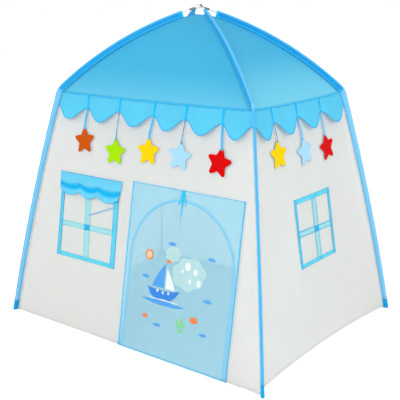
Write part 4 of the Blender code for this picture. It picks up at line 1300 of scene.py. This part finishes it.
class PLAYTENT_OT_roof(Operator):
    """Stretch the four roof panels between the poles, with piping along the eaves and hems at the peak"""
    bl_idname = "playtent.roof"
    bl_label = "Roof"

    def execute(self, context):
        for side in SIDES:
            _, _, rise = roof_pairs(side)
            wide = (roof_at(side, 1, 0) - roof_at(side, 0, 0)).length

            def place(across, down):
                return roof_at(side, across, 1 - down)

            panel = cloth_grid(f"roof_cloth_{side}", shares(ROOF_COLUMNS), shares(ROOF_ROWS), place,
                               (wide, rise), roof_taffeta(), BODY_CLOTH)
            riding(panel, replaces=[f"roof_{side}"])
            top = wall_top(side)
            eaves = []
            for share in shares(40):
                v = top - eaves_drop(share) + 0.001
                u = mix(edge_at(side, False, top), edge_at(side, True, top), share)
                eaves.append(from_side(side, u, v, wall_lift(side, u, top) + EAVES_PIPING_LIFT))
            form = rod_form(bmesh.new(), eaves, sizes().piping)
            seam = sewn(f"eaves_piping_{side}", form, seam_piping())
            form = bmesh.new()
            tape_form(form, [(0.12, 0.988), (0.88, 0.988)], 0.02, 0.0002,
                      functools.partial(roof_at, side), spacing=0.05, thickness=0.0005)
            hem = sewn(f"peak_hem_{side}", form, seam_piping())
        return {"FINISHED"}


def notch_shares(side):
    if side in ("front", "rear"):
        return FRONT_NOTCH_SHARES
    return END_NOTCH_SHARES if side == "right" else tuple(-share for share in reversed(END_NOTCH_SHARES))


@functools.cache
def notch_places(side):
    half = edge_at(side, True, wall_top(side))
    return tuple(share * half for share in notch_shares(side))


def valance_point(side, across, down, lift=0.0):
    """A point of the valance. Each whole step across is one scallop, from one ribbon to the next."""
    notches = notch_places(side)
    index = min(int(across), len(notches))
    share = across - index
    top = wall_top(side)
    drop = VALANCE_NOTCH_DROP + SCALLOP_DEPTHS[side] * hump(share) ** SCALLOP_FULLNESS
    height = top - drop * down
    ends = [edge_at(side, False, height), *notches, edge_at(side, True, height)]
    u = mix(ends[index], ends[index + 1], share)
    swell = max(hump(share), 0) ** 0.85
    puff = sizes().valance_puff * down ** 1.15 * swell
    ripple = uneven(u * 26, height * 7, 2.0 + 9.0 * list(SIDES).index(side)) * 0.0022
    gather = math.cos(math.pi * 6 * share) * 0.0008 * (1 - abs(2 * share - 1))
    n = VALANCE_LIFT + wall_lift(side, u, height) + puff + (ripple + gather) * down * swell + lift
    v = height - eaves_drop(across_share(side, u, height)) * (1 - down)
    return from_side(side, u, v, n)


class PLAYTENT_OT_valances(Operator):
    """Hang the scalloped valances from the eaves, puffed out between the ribbons, with rolled hems"""
    bl_idname = "playtent.valances"
    bl_label = "Valances"

    def execute(self, context):
        for side in SIDES:
            count = len(notch_places(side)) + 1
            steps = [(1 - math.cos(math.pi * step / SCALLOP_COLUMNS)) / 2 for step in range(SCALLOP_COLUMNS)]
            columns = [index + step for index in range(count) for step in steps]
            columns.append(count - 1e-9)
            span = 2 * edge_at(side, True, wall_top(side))
            made = cloth_grid(f"valance_cloth_{side}", columns, shares(VALANCE_ROWS),
                              functools.partial(valance_point, side), (span / count, 0.10),
                              valance_taffeta(), LIGHT_CLOTH)
            riding(made, replaces=[f"valance_{side}"])
            line = [valance_point(side, across, 1.0, 0.0002) for across in columns]
            form = rod_form(bmesh.new(), line, HEM_ROLL_RADIUS)
            hem = sewn(f"valance_hem_{side}", form, rolled_hem())
        return {"FINISHED"}


def star_outline(centre_u, centre_v, turn):
    """A star with rounded points and slightly hollow sides."""
    waist = STAR_RADIUS * STAR_WAIST_SHARE
    rounding = STAR_RADIUS * STAR_ROUNDING_SHARE
    step = math.pi / STAR_POINTS
    points = []
    for index in range(2 * STAR_POINTS):
        angle = math.pi / 2 - step * index + turn
        if index % 2:
            for lean in (-0.05, 0.0, 0.05):
                reach = waist * (1 + abs(lean) * 0.4)
                way = angle - lean
                points.append((centre_u + reach * math.cos(way), centre_v + reach * math.sin(way)))
            continue
        reach = STAR_RADIUS - rounding
        tip_u, tip_v = centre_u + reach * math.cos(angle), centre_v + reach * math.sin(angle)
        for tip in range(9):
            turned = angle + STAR_TIP_SPREAD * (1 - 2 * tip / 8)
            points.append((tip_u + rounding * math.cos(turned), tip_v + rounding * math.sin(turned)))
    return points


def ribbon_form(form, line, half_twists, start_turn):
    """Adds a satin ribbon along points with their across and outward directions. One with half twists is
    rolled into a thin cord over its lower part."""
    rings, run = [], 0.0
    for index, (point, across, outward) in enumerate(line):
        share = index / (len(line) - 1)
        turn = math.pi * half_twists * eased((share - start_turn) / (0.92 - start_turn))
        flat = across * math.cos(turn) + outward * math.sin(turn)
        face = outward * math.cos(turn) - across * math.sin(turn)
        rolled = eased((share - start_turn) * 8) * eased((1 - share) * 9) if half_twists else 0.0
        half_width, half_height = mix(RIBBON_SHOWN / 2, 0.0014, rolled), mix(0.00025, 0.0009, rolled)
        if index:
            run += (point - line[index - 1][0]).length
        rings.append([(form.verts.new(point + flat * half_width * side + face * half_height * height),
                       (run, half_width * side))
                      for side, height in ((-1, -1), (1, -1), (1, 1), (0, 1.3), (-1, 1))])
    return tube_faces(form, rings)


class PLAYTENT_OT_stars(Operator):
    """Cut the felt stars and hang them on satin ribbons from the eaves seam"""
    bl_idname = "playtent.stars"
    bl_label = "Hanging Stars"

    def execute(self, context):
        hung = {"front": FRONT_STARS, "right": END_STARS, "left": END_STARS[::-1]}
        for side, row in hung.items():
            hand = -1 if side == "left" else 1
            for star, notch in zip(row, notch_places(side)):
                self.star(side, star, notch, hand)
        return {"FINISHED"}

    def star(self, side, star, notch, hand):
        name = f"star_{side}_{star.colour}"
        seam = wall_top(side)
        end_u = notch + hand * star.lean_share * RIBBON_LENGTH
        end_v = seam - RIBBON_LENGTH * star.length_share
        turn = math.radians(star.turn * hand)
        reach = STAR_RADIUS - RIBBON_HEM
        centre_u, centre_v = end_u + reach * math.sin(turn), end_v - reach * math.cos(turn)
        curl = 0.5 + uneven(centre_u * 9, centre_v * 9, 1.0)

        def place(u, v):
            off_u, off_v = (u - centre_u) / STAR_RADIUS, (v - centre_v) / STAR_RADIUS
            n = STAR_LIFT + 0.0011 * curl * off_u * off_u + 0.0007 * off_v * off_v
            return from_side(side, u, v, n)

        outline = star_outline(centre_u, centre_v, turn)
        form = cut_form(bmesh.new(), outline, [], FELT_SPACING, place)
        felt_star = finished(f"felt_{name}", form, felt(star.colour))
        thickened(felt_star, sizes().felt, 1.0)
        edge = felt_star.modifiers.new("pressed edge", "BEVEL")
        edge.width = 0.0005
        edge.segments = 2
        edge.angle_limit = math.radians(50)
        riding(felt_star, body=name, replaces=[name])
        ribbon = self.ribbon(side, name, star, (notch, seam), (end_u, end_v))
        flat_area(outline)

    def ribbon(self, side, name, star, start, end):
        matrix = side_matrix(side)
        across, outward = (matrix.to_3x3() @ Vector(axis) for axis in ((1, 0, 0), (0, 0, 1)))
        bend = start[1] - VALANCE_NOTCH_DROP
        over_felt = STAR_LIFT + sizes().felt + 0.0009
        line = []
        for step in range(8):
            v = mix(start[1] - 0.001, bend, step / 8)
            n = wall_lift(side, start[0], v) + RIBBON_LIFT
            line.append((matrix @ Vector((start[0], v, n)), across, outward))
        for step in range(25):
            share = step / 24
            u, v = mix(start[0], end[0], share), mix(bend, end[1] - 0.004, share)
            n = mix(RIBBON_LIFT, over_felt, eased(share * 1.2)) + 0.0016 * hump(share)
            line.append((matrix @ Vector((u, v, n)), across, outward))
        form = ribbon_form(bmesh.new(), line, star.half_twists, 8 / 32)
        made = finished(f"ribbon_{name}", form, satin(bool(star.half_twists)), smooth=False)
        return riding(made, body=name)


# How each window's frame is laid: widths of its left, right, foot and top tapes, the bar from left to right
# and the post from foot to top, each as places with a width, and how far the right tape's top leans in
WindowTapes = namedtuple("WindowTapes", "left right foot top bar bar_width post post_width lean")
WINDOW_TAPES = {
    "front": WindowTapes(0.019, 0.026, 0.018, 0.020, bar=(0.4280, 0.4312), bar_width=0.0235,
                         post=(-0.2640, -0.2775), post_width=0.0335, lean=0.006),
    "right": WindowTapes(0.016, 0.016, 0.017, 0.020, bar=(0.4765, 0.4685), bar_width=0.0230,
                         post=(0.0150, 0.0170), post_width=0.0300, lean=0.0),
    "left": WindowTapes(0.016, 0.016, 0.017, 0.020, bar=(0.4685, 0.4765), bar_width=0.0230,
                        post=(-0.0150, -0.0170), post_width=0.0300, lean=0.0),
}


class PLAYTENT_OT_windows(Operator):
    """Sew netting, ribbon tape frames and crossing bars into the windows"""
    bl_idname = "playtent.windows"
    bl_label = "Windows"

    def execute(self, context):
        for side, (left, right, foot, top) in WINDOWS.items():
            place = functools.partial(self.net_place, side)
            edges = rectangle(left, right, foot, top)
            form = cut_form(bmesh.new(), edges, [], CUT_SPACING, place)
            net = finished(f"window_net_{side}", form, netting())
            riding(net, replaces=[f"window_mesh_{side}"])
            trims = self.tapes(side)
        self.strap()
        return {"FINISHED"}

    def net_place(self, side, u, v):
        return wall_point(side, u, v, NET_LIFT)

    def tapes(self, side):
        left, right, foot, top = WINDOWS[side]
        cut = WINDOW_TAPES[side]
        place = on_wall(side)
        form = bmesh.new()
        sides = (
            ((left + cut.left / 2, foot), (left + cut.left / 2, top), cut.left),
            ((right - cut.right / 2, foot), (right - cut.right / 2 - cut.lean, top), cut.right),
            ((left, foot + cut.foot / 2), (right, foot + cut.foot / 2), cut.foot),
            ((left, top - cut.top / 2), (right, top - cut.top / 2), cut.top),
        )
        for index, (start, end, width) in enumerate(sides):
            tape_form(form, [start, end], width, TRIM_LIFT + 0.0004 * (index // 2), place)
        edge = sewn(f"window_tape_{side}", form, binding_tape(), replaces=[f"window_frame_{side}"])
        form = bmesh.new()
        bar = [(left + cut.left * 0.4, cut.bar[0]), (right - cut.right * 0.4, cut.bar[1])]
        post = [(cut.post[0], foot + cut.foot * 0.4), (cut.post[1], top - cut.top * 0.4)]
        tape_form(form, bar, cut.bar_width, TRIM_LIFT + 0.0002, place, thickness=SHEER_THICKNESS)
        tape_form(form, post, (cut.post_width * 0.95, cut.post_width), TRIM_LIFT + 0.0007, place,
                  thickness=SHEER_THICKNESS)
        # The front window's bars have turned edges of the same sheer tape, the end windows' a deeper edging
        rims = bmesh.new()
        edging = form if side == "front" else rims
        for hand in (-1, 1):
            off = hand * (cut.bar_width / 2 - 0.0017)
            tape_form(edging, [(u, v + off) for u, v in bar], BAR_EDGE_WIDTH, TRIM_LIFT + 0.0011, place,
                      thickness=EDGE_THICKNESS)
            off = hand * (cut.post_width / 2 - 0.0020)
            tape_form(edging, [(u + off, v) for u, v in post], POST_EDGE_WIDTH, TRIM_LIFT + 0.0014, place,
                      thickness=EDGE_THICKNESS)
        bars = sewn(f"window_bars_{side}", form, sheer_tape())
        form = rims
        for start, end, width in sides[:2]:
            for hand in (-1, 1):
                off = hand * (width / 2 - 0.0018)
                tape_form(form, [(start[0] + off, start[1]), (end[0] + off, end[1])], SIDE_EDGE_WIDTH,
                          TRIM_LIFT + 0.0012, place, thickness=EDGE_THICKNESS)
        cross_u = mix(*cut.post, (cut.bar[0] - foot) / (top - foot))
        cross_v = (cut.bar[0] + cut.bar[1]) / 2
        half = cut.bar_width * 0.46
        tape_form(form, [(cross_u, cross_v - half), (cross_u, cross_v + half)],
                  cut.post_width * 0.8, TRIM_LIFT + 0.0017, place, thickness=EDGE_THICKNESS)
        selvedge = sewn(f"window_selvedges_{side}", form, rolled_hem())
        return edge, bars, selvedge

    def strap(self):
        """A narrow strap behind the front window's netting, from under the post to under the right tape."""
        form = bmesh.new()
        tape_form(form, STRAP, STRAP_WIDTH, STRAP_LIFT, on_wall("front"), thickness=0.0005)
        sewn("window_strap", form, strap_webbing(), replaces=["window_tie_strap"])


def curtain_drop(across):
    """How far the window curtain's scalloped edge hangs below its head."""
    index = min(sum(across >= end for end in CURTAIN_ENDS[1:]), len(CURTAIN_ENDS) - 2)
    start, end = CURTAIN_ENDS[index:index + 2]
    scallop = hump(clamped((across - start) / (end - start)))
    return CURTAIN_DROP + 0.006 * across - CURTAIN_SCALLOP_DEPTH * 1.25 * (1 - max(scallop, 0) ** 0.7)


def curtain_place(across, down, lift=0.0):
    """The gathered window curtain: a flat head, a full puff, a tuck where it is tied, and a frill below."""
    _, _, _, top = FRONT_WINDOW
    pulled_in = (mix(0.006, -0.013, across) + 0.002 * math.sin(7 * down)) * down ** 1.5
    u = CURTAIN_CENTRE + CURTAIN_WIDTH * (across - 0.5) + pulled_in
    v = top - curtain_drop(across) * down
    sides = 1 - (2 * across - 1) ** 6
    puff = sizes().curtain_puff * hump(clamped(down / 0.72)) ** 1.3 * sides
    folds = (0.0020 * math.sin(9 * math.pi * down ** 0.8) * sides
             * clamped(down * 4) * clamped((0.7 - down) * 5))
    frill = 0.0075 * math.sin(math.pi / 2 * clamped((down - 0.70) / 0.3)) * (0.4 + 0.6 * sides)
    wave = uneven(across * 9, down * 2.2, 4.0)
    pleat = 0.0030 * down * (1 - math.cos(2 * math.pi * 11 * across + 3.0 * wave)) / 2
    sway = 0.0015 * wave * down * sides
    n = CURTAIN_LIFT + 0.0004 + puff + folds + frill + pleat + sway + lift
    return from_side("front", u, v, n)


class PLAYTENT_OT_window_curtain(Operator):
    """Gather the front window's tied-up curtain, with its head tape and rolled scalloped hem"""
    bl_idname = "playtent.window_curtain"
    bl_label = "Window Curtain"

    def execute(self, context):
        body = "window_curtain"
        columns = shares(CURTAIN_COLUMNS)
        cloth = cloth_grid("window_curtain_cloth", columns, shares(CURTAIN_ROWS), curtain_place,
                           (CURTAIN_WIDTH, 0.12), curtain_taffeta(), LIGHT_CLOTH)
        riding(cloth, body=body, replaces=["window_curtain_front"])
        form = rod_form(bmesh.new(), [curtain_place(across, 1.0) for across in columns], 0.0009)
        rod_form(form, [curtain_place(across, 0.70, 0.0002) for across in shares(60)], 0.0008)
        rod_form(form, [curtain_place(across, 0.004, 0.0004) for across in shares(40)], 0.0010)
        hem = sewn("window_curtain_hems", form, rolled_hem(), body=body)
        return {"FINISHED"}


def door_place(u, v, lift=0.0):
    """The door curtain's face: flat at its head, with soft folds that open towards its hem."""
    across = (u - DOOR_CENTRE) / DOOR_CURTAIN_WIDTH + 0.5
    down = (DOOR_CURTAIN_TOP - v) / (DOOR_CURTAIN_TOP - HEM_CLEARANCE)
    depth = sizes().door_fold * max(down - DOOR_FOLD_START_SHARE, 0) / (1 - DOOR_FOLD_START_SHARE)
    depth *= 1 - 0.75 * eased((down - 0.88) / 0.12)
    wave = uneven(across * 4.0, down * 1.5, 6.0)
    fold = depth * (1 - math.cos(2 * math.pi * DOOR_FOLDS * across + 1.1 * wave * down)) / 2
    ripple = 0.0012 * (uneven(u * 34, v * 5, 8.0) + 1) * clamped(down * 6) * clamped((1 - down) * 8)
    return from_side("front", u, v, CURTAIN_LIFT + 0.0006 + fold + ripple + lift)


def door_edge(across, down):
    """The curtain's own edges wave a little in its plane."""
    u = DOOR_CENTRE + DOOR_CURTAIN_WIDTH * (across - 0.5)
    pull = uneven(across * 2, down * 3.6, 12.0) * 0.0035 * abs(2 * across - 1) ** 3
    v = mix(DOOR_CURTAIN_TOP, HEM_CLEARANCE, down)
    return u + pull * hump(down), v


# The door's printed pictures. Places are shares of the print's area, from its lower left.
PRINT_LEFT, PRINT_FOOT, PRINT_WIDTH, PRINT_HEIGHT = 0.038, 0.108, 0.374, 0.350
PrintInk = namedtuple("PrintInk", "name code strength")
SEA_INK = PrintInk("sea blue", "#4AA2EE", 0.85)
MINT_INK = PrintInk("pale mint", "#CDEFE8", 0.55)
FOAM_INK = PrintInk("foam white", "#F4F8FA", 0.85)
SAND_INK = PrintInk("sand", "#F1E3B8", 0.80)
CORAL_INK = PrintInk("coral orange", "#F5823C", 0.92)
LEAF_INK = PrintInk("leaf green", "#84DE8E", 0.82)
HULL_INK = PrintInk("deep blue", "#2F86E0", 0.90)


def turned(places, u, v, turn):
    """An outline about (0, 0), turned and laid at a place."""
    cos, sin = math.cos(turn), math.sin(turn)
    return [(u + x * cos - y * sin, v + x * sin + y * cos) for x, y in places]


def blob(u, v, wide, high, turn=0.0, steps=24):
    """An oval's edge."""
    angles = [2 * math.pi * step / steps for step in range(steps)]
    return turned([(wide * math.cos(angle), high * math.sin(angle)) for angle in angles], u, v, turn)


def cloud(u, v, size):
    """A soft cloud: round lumps along its whole edge."""
    places = []
    for step in range(60):
        angle = 2 * math.pi * step / 60
        reach = size * (0.86 + 0.14 * abs(math.sin(3.5 * angle + 0.6)) + 0.06 * math.sin(2 * angle))
        places.append((u + reach * math.cos(angle), v + 0.88 * reach * math.sin(angle)))
    return places


def swell(u, v, length, height, crests):
    """A strip of water with crests along its top and pointed ends."""
    places = []
    for step in range(25):
        share = step / 24
        places.append((share - 0.5, -height * hump(share)))
    for step in range(23, 0, -1):
        share = step / 24
        lift = hump(share)
        places.append((share - 0.5, height * (0.35 + 0.65 * abs(hump(crests * share))) * lift))
    return [(u + length * x, v + length * y) for x, y in places]


def shell(u, v, size):
    """A fan shell: a round fluted top and a narrow foot."""
    places = [(u - size * 0.22, v - size * 0.55), (u + size * 0.22, v - size * 0.55)]
    for step in range(31):
        angle = math.radians(mix(-18, 198, step / 30))
        reach = size * (0.9 + 0.09 * abs(math.sin(3.5 * angle)))
        places.append((u + reach * math.cos(angle), v + reach * 0.85 * math.sin(angle)))
    return places


def hull(u, v, length):
    """A small boat's side: a level rail, a raking stem and a round bottom."""
    rail = [(-0.50, 0.10), (-0.44, -0.04), (-0.34, -0.14), (-0.20, -0.20), (0.0, -0.22), (0.20, -0.19),
            (0.34, -0.11), (0.45, 0.02), (0.53, 0.16), (0.30, 0.09), (0.0, 0.06), (-0.28, 0.07)]
    return [(u + length * x, v + length * y) for x, y in rail]


def sail(foot_u, foot_v, width, height):
    """A sail: a straight edge at the mast and a full outer edge."""
    curve = [(1 - share, share, 0.10 * hump(share)) for share in (0, 0.2, 0.4, 0.6, 0.8, 1)]
    edge = [(foot_u + width * (across + out), foot_v + height * up) for across, up, out in curve]
    return [(foot_u, foot_v), *edge]


# Each picture: its ink and outlines. Later ones lie over earlier ones.
PRINT = (
    (MINT_INK, (cloud(0.64, 0.69, 0.210), cloud(0.42, 0.86, 0.100))),
    (FOAM_INK, (blob(0.62, 0.77, 0.034, 0.046), blob(0.72, 0.73, 0.024, 0.034),
                blob(0.66, 0.62, 0.018, 0.026), blob(0.77, 0.62, 0.026, 0.036),
                blob(0.56, 0.71, 0.015, 0.020))),
    (HULL_INK, (hull(0.34, 0.42, 0.40),)),
    (SEA_INK, (sail(0.345, 0.475, -0.15, 0.27), swell(0.35, 0.315, 0.58, 0.055, 4))),
    (FOAM_INK, (sail(0.368, 0.475, 0.125, 0.22), swell(0.36, 0.345, 0.40, 0.018, 3),
                blob(0.27, 0.435, 0.013, 0.016), blob(0.34, 0.425, 0.013, 0.016),
                blob(0.41, 0.43, 0.013, 0.016))),
    (CORAL_INK, ([(0.352, 0.75), (0.43, 0.775), (0.352, 0.80)], shell(0.76, 0.22, 0.052),
                 shell(0.14, 0.12, 0.036), blob(0.12, 0.80, 0.050, 0.058))),
    (SAND_INK, (blob(0.12, 0.80, 0.034, 0.040),)),
    (LEAF_INK, (blob(0.56, 0.14, 0.014, 0.060, 0.35), blob(0.60, 0.15, 0.014, 0.070),
                blob(0.64, 0.14, 0.014, 0.055, -0.35), blob(0.60, 0.06, 0.045, 0.012))),
    (SEA_INK, [swell(u, v, length, 0.17, 1) for u, v, length in (
        (0.10, 0.56, 0.11), (0.40, 0.97, 0.12), (0.90, 0.46, 0.12), (0.30, 0.06, 0.11), (0.88, 0.10, 0.10),
        (0.90, 0.90, 0.11),
    )]),
)


class PLAYTENT_OT_door(Operator):
    """Bind the door arch, hang the sheer curtain with its rolled hems and print, and tape its threshold"""
    bl_idname = "playtent.door"
    bl_label = "Door"

    def execute(self, context):
        body = "door_curtain"
        place = on_wall("front")
        path = arch_line(ARCH_BINDING_WIDTH / 2 - 0.001, HEM_CLEARANCE + 0.001)
        form = tape_form(bmesh.new(), path, ARCH_BINDING_WIDTH, TRIM_LIFT, place, spacing=0.008)
        sewn("arch_tape", form, wall_taffeta(), replaces=["door_arch_binding"])
        form = tape_form(bmesh.new(), arch_line(0.0034, HEM_CLEARANCE + 0.001), 0.0064,
                         TRIM_LIFT + 0.0005, place, spacing=0.008, thickness=0.0009)
        sewn("arch_piping", form, arch_piping())
        half = ARCH_RADIUS + THRESHOLD_LAP
        path = [(DOOR_CENTRE - half, THRESHOLD_WIDTH / 2 + HEM_CLEARANCE),
                (DOOR_CENTRE + half, THRESHOLD_WIDTH / 2 + HEM_CLEARANCE)]
        form = tape_form(bmesh.new(), path, THRESHOLD_WIDTH, THRESHOLD_LIFT, place, spacing=0.02)
        sewn("threshold_cloth", form, wall_taffeta(), replaces=["threshold_tape"])
        cloth = self.cloth()
        riding(cloth, body=body, replaces=["door_curtain"])
        extras = [self.hems(), *self.tie(), *self.pictures()]
        return {"FINISHED"}

    def cloth(self):
        def place(across, down):
            return door_place(*door_edge(across, down))

        size = (DOOR_CURTAIN_WIDTH, DOOR_CURTAIN_TOP - HEM_CLEARANCE)
        return cloth_grid("door_voile", shares(DOOR_COLUMNS), shares(DOOR_ROWS), place, size, door_voile(),
                          VOILE_CLOTH)

    def hems(self):
        form = bmesh.new()
        for across in (0.0, 1.0):
            line = [door_place(*door_edge(across, down), lift=-0.0002) for down in shares(DOOR_ROWS)]
            rod_form(form, line, DOOR_SIDE_RADIUS)
        raised = Vector((0, 0, DOOR_HEM_RADIUS))
        line = [door_place(*door_edge(across, 1.0)) + raised for across in shares(DOOR_COLUMNS)]
        rod_form(form, line, DOOR_HEM_RADIUS)
        rod_form(form, [door_place(*door_edge(across, 0.0)) for across in shares(DOOR_ROWS)],
                 DOOR_HEAD_RADIUS)
        return sewn("door_hems", form, voile_hem(), body="door_curtain")

    def tie(self):
        """The tie that holds the rolled-up door: a folded tape from the head, with thin loops beside it."""
        form = bmesh.new()

        def place(u, v, lift):
            return door_place(u, v, 0.0012 + lift)

        top = DOOR_CURTAIN_TOP - 0.001
        middle = DOOR_TIE_CENTRE
        tape_form(form, [(middle, top), (middle + 0.001, 0.600)], (0.013, 0.008), 0.0012, place,
                  spacing=0.008)
        tape_form(form, [(middle + 0.001, 0.5995), (middle - 0.001, 0.552)], (0.007, 0.003), 0.0012, place,
                  spacing=0.008)
        tie = sewn("door_tie", form, voile_hem(), body="door_curtain", replaces=["door_tie_tape"])
        form = bmesh.new()
        for hand in (-1, 1):
            path = [(middle + hand * 0.004, top), (middle + hand * 0.017, 0.598)]
            tape_form(form, path, (0.003, 0.005), 0.0004, place, spacing=0.008, thickness=0.0005)
        for hand, end in ((-1, 0.022), (1, 0.006)):
            rod_form(form, [place(middle + hand * mix(0.002, end, share), mix(0.604, 0.596, share), 0.0014)
                            for share in shares(8)], 0.0009)
        rod_form(form, [place(middle - 0.001 - 0.001 * share, mix(0.556, 0.515, share), 0.0004)
                        for share in shares(8)], 0.0006)
        loops = sewn("door_tie_loops", form, seam_piping(), body="door_curtain")
        return tie, loops

    def pictures(self):
        made = []
        for index, (ink, outlines) in enumerate(PRINT):
            def place(u, v, lift=0.0007 + 0.00012 * index):
                return door_place(u, v, lift)

            form = bmesh.new()
            for outline in outlines:
                drawn = [(PRINT_LEFT + PRINT_WIDTH * u, PRINT_FOOT + PRINT_HEIGHT * v) for u, v in outline]
                cut_form(form, drawn, [], PRINT_SPACING, place)
            name = f"door_print_{index + 1}_{ink.name.replace(' ', '_')}"
            picture = finished(name, form, printed(ink.name, ink.code, ink.strength))
            made.append(riding(picture, body="door_curtain"))
        return made


# Each lamp's name, place, width across in metres and power in watts
LAMPS = (
    ("key", (1.2, -3.8, 2.3), 2.6, 61.0),
    ("fill", (-3.2, -3.0, 2.0), 2.8, 26.0),
    ("right", (4.4, 0.2, 2.5), 2.4, 63.0),
)
LAMP_AIM = Vector((0, 0, 0.6))
CAMERA_PLACE = (1.9595, -2.5498, 1.3387)
# The camera's turn about the vertical, its tilt and its roll, in degrees
CAMERA_TURNS = ((37.57, "Z"), (75.27, "X"), (-0.26, "Z"))
CAMERA_LENS = 70.43
SENSOR_WIDTH = 36
FLOOR_REACH = 14.0


class PLAYTENT_OT_stage(Operator):
    """Set up the pale studio: a floor, soft lamps and the camera"""
    bl_idname = "playtent.stage"
    bl_label = "Stage"

    def execute(self, context):
        scene = context.scene
        self.floor()
        self.world(scene)
        for name, place, size, power in LAMPS:
            lamp = bpy.data.lights.new(f"{name}_lamp", "AREA")
            lamp.shape = "DISK"
            lamp.size = size
            lamp.energy = power
            stand = bpy.data.objects.new(f"{name}_lamp", lamp)
            stand.location = place
            stand.rotation_euler = (LAMP_AIM - Vector(place)).to_track_quat("-Z", "Y").to_euler()
            scene.collection.objects.link(stand)
        camera = bpy.data.cameras.new("camera")
        camera.lens = CAMERA_LENS
        camera.sensor_width = SENSOR_WIDTH
        view = bpy.data.objects.new("camera", camera)
        about, tilt, roll = (Matrix.Rotation(math.radians(turn), 4, axis) for turn, axis in CAMERA_TURNS)
        view.matrix_world = Matrix.Translation(CAMERA_PLACE) @ (about @ tilt) @ roll
        scene.collection.objects.link(view)
        scene.camera = view
        scene.view_settings.view_transform = "Standard"
        return {"FINISHED"}

    def floor(self):
        add = fresh("White painted studio floor, rolled")
        place = add("TexCoord")
        stipple = add("TexNoise", {"Vector": place.outputs["Object"], "Scale": 60.0, "Detail": 3.0})
        share = stipple.outputs["Fac"]
        paint = faced(add, (0.80, 0.80, 0.80, 1), share, (0.75, 0.9), (share, 0.1, 0.0002),
                      {"Specular IOR Level": 0.0})
        seen = add("LightPath")
        direct = add("Math", {0: seen.outputs["Transparent Depth"], 1: 0.5}, operation="LESS_THAN")
        strength = add("Math", {0: direct, 1: 0.46}, operation="MULTIPLY")
        glow = add("Emission", {"Color": (1, 1, 1, 1), "Strength": strength})
        lit = add("AddShader", {0: paint, 1: glow})
        surface = add("MixShader", {0: seen.outputs["Is Camera Ray"], 1: paint, 2: lit})
        add("OutputMaterial", {"Surface": surface})
        form = bmesh.new()
        corners = [(x * FLOOR_REACH, y * FLOOR_REACH, 0) for x, y in ((-1, -1), (1, -1), (1, 1), (-1, 1))]
        form.faces.new([form.verts.new(corner) for corner in corners])
        finished("floor", form, bpy.data.materials["White painted studio floor, rolled"], smooth=False)

    def world(self, scene):
        world = bpy.data.worlds.new("studio")
        world.use_nodes = True
        world.node_tree.nodes.clear()
        add = functools.partial(add_node, world.node_tree)
        seen = add("LightPath")
        first = add("Math", {
            0: seen.outputs["Is Camera Ray"], 1: seen.outputs["Is Glossy Ray"],
        }, operation="MAXIMUM")
        straight = add("Math", {0: first, 1: seen.outputs["Is Transmission Ray"]}, operation="MAXIMUM")
        white = add("Background", {"Color": (1, 1, 1, 1), "Strength": 1.0})
        soft = add("Background", {"Color": (1, 1, 1, 1), "Strength": 0.83})
        sky = add("MixShader", {0: straight, 1: soft, 2: white})
        add("OutputWorld", {"Surface": sky})
        scene.world = world


class PLAYTENT_PT_panel(Panel):
    """Lists the tent's pieces in the order in which they are made"""
    bl_idname = "PLAYTENT_PT_panel"
    bl_label = "Kids Play Tent"
    bl_space_type = "VIEW_3D"
    bl_region_type = "UI"
    bl_category = "Play Tent"

    def draw(self, context):
        for piece in PIECES:
            self.layout.operator(piece.bl_idname)
        for group in (context.scene.play_tent_sizes, context.scene.play_tent_colours):
            box = self.layout.box()
            for key in group.bl_rna.properties.keys():
                if key not in ("rna_type", "name"):
                    box.prop(group, key)


PIECES = (
    PLAYTENT_OT_poles, PLAYTENT_OT_sleeves, PLAYTENT_OT_walls, PLAYTENT_OT_windows, PLAYTENT_OT_roof,
    PLAYTENT_OT_valances, PLAYTENT_OT_window_curtain, PLAYTENT_OT_door, PLAYTENT_OT_stars, PLAYTENT_OT_stage,
)
CLASSES = (PlayTentSizes, PlayTentColours, *PIECES, PLAYTENT_PT_panel)


def register():
    for kind in CLASSES:
        bpy.utils.register_class(kind)
    bpy.types.Scene.play_tent_sizes = PointerProperty(type=PlayTentSizes)
    bpy.types.Scene.play_tent_colours = PointerProperty(type=PlayTentColours)


def unregister():
    del bpy.types.Scene.play_tent_colours
    del bpy.types.Scene.play_tent_sizes
    for kind in reversed(CLASSES):
        bpy.utils.unregister_class(kind)


def main():
    register()
    bpy.ops.playtent.poles()
    bpy.ops.playtent.sleeves()
    bpy.ops.playtent.walls()
    bpy.ops.playtent.windows()
    bpy.ops.playtent.roof()
    bpy.ops.playtent.valances()
    bpy.ops.playtent.window_curtain()
    bpy.ops.playtent.door()
    bpy.ops.playtent.stars()
    bpy.ops.playtent.stage()


if __name__ == "__main__":
    main()
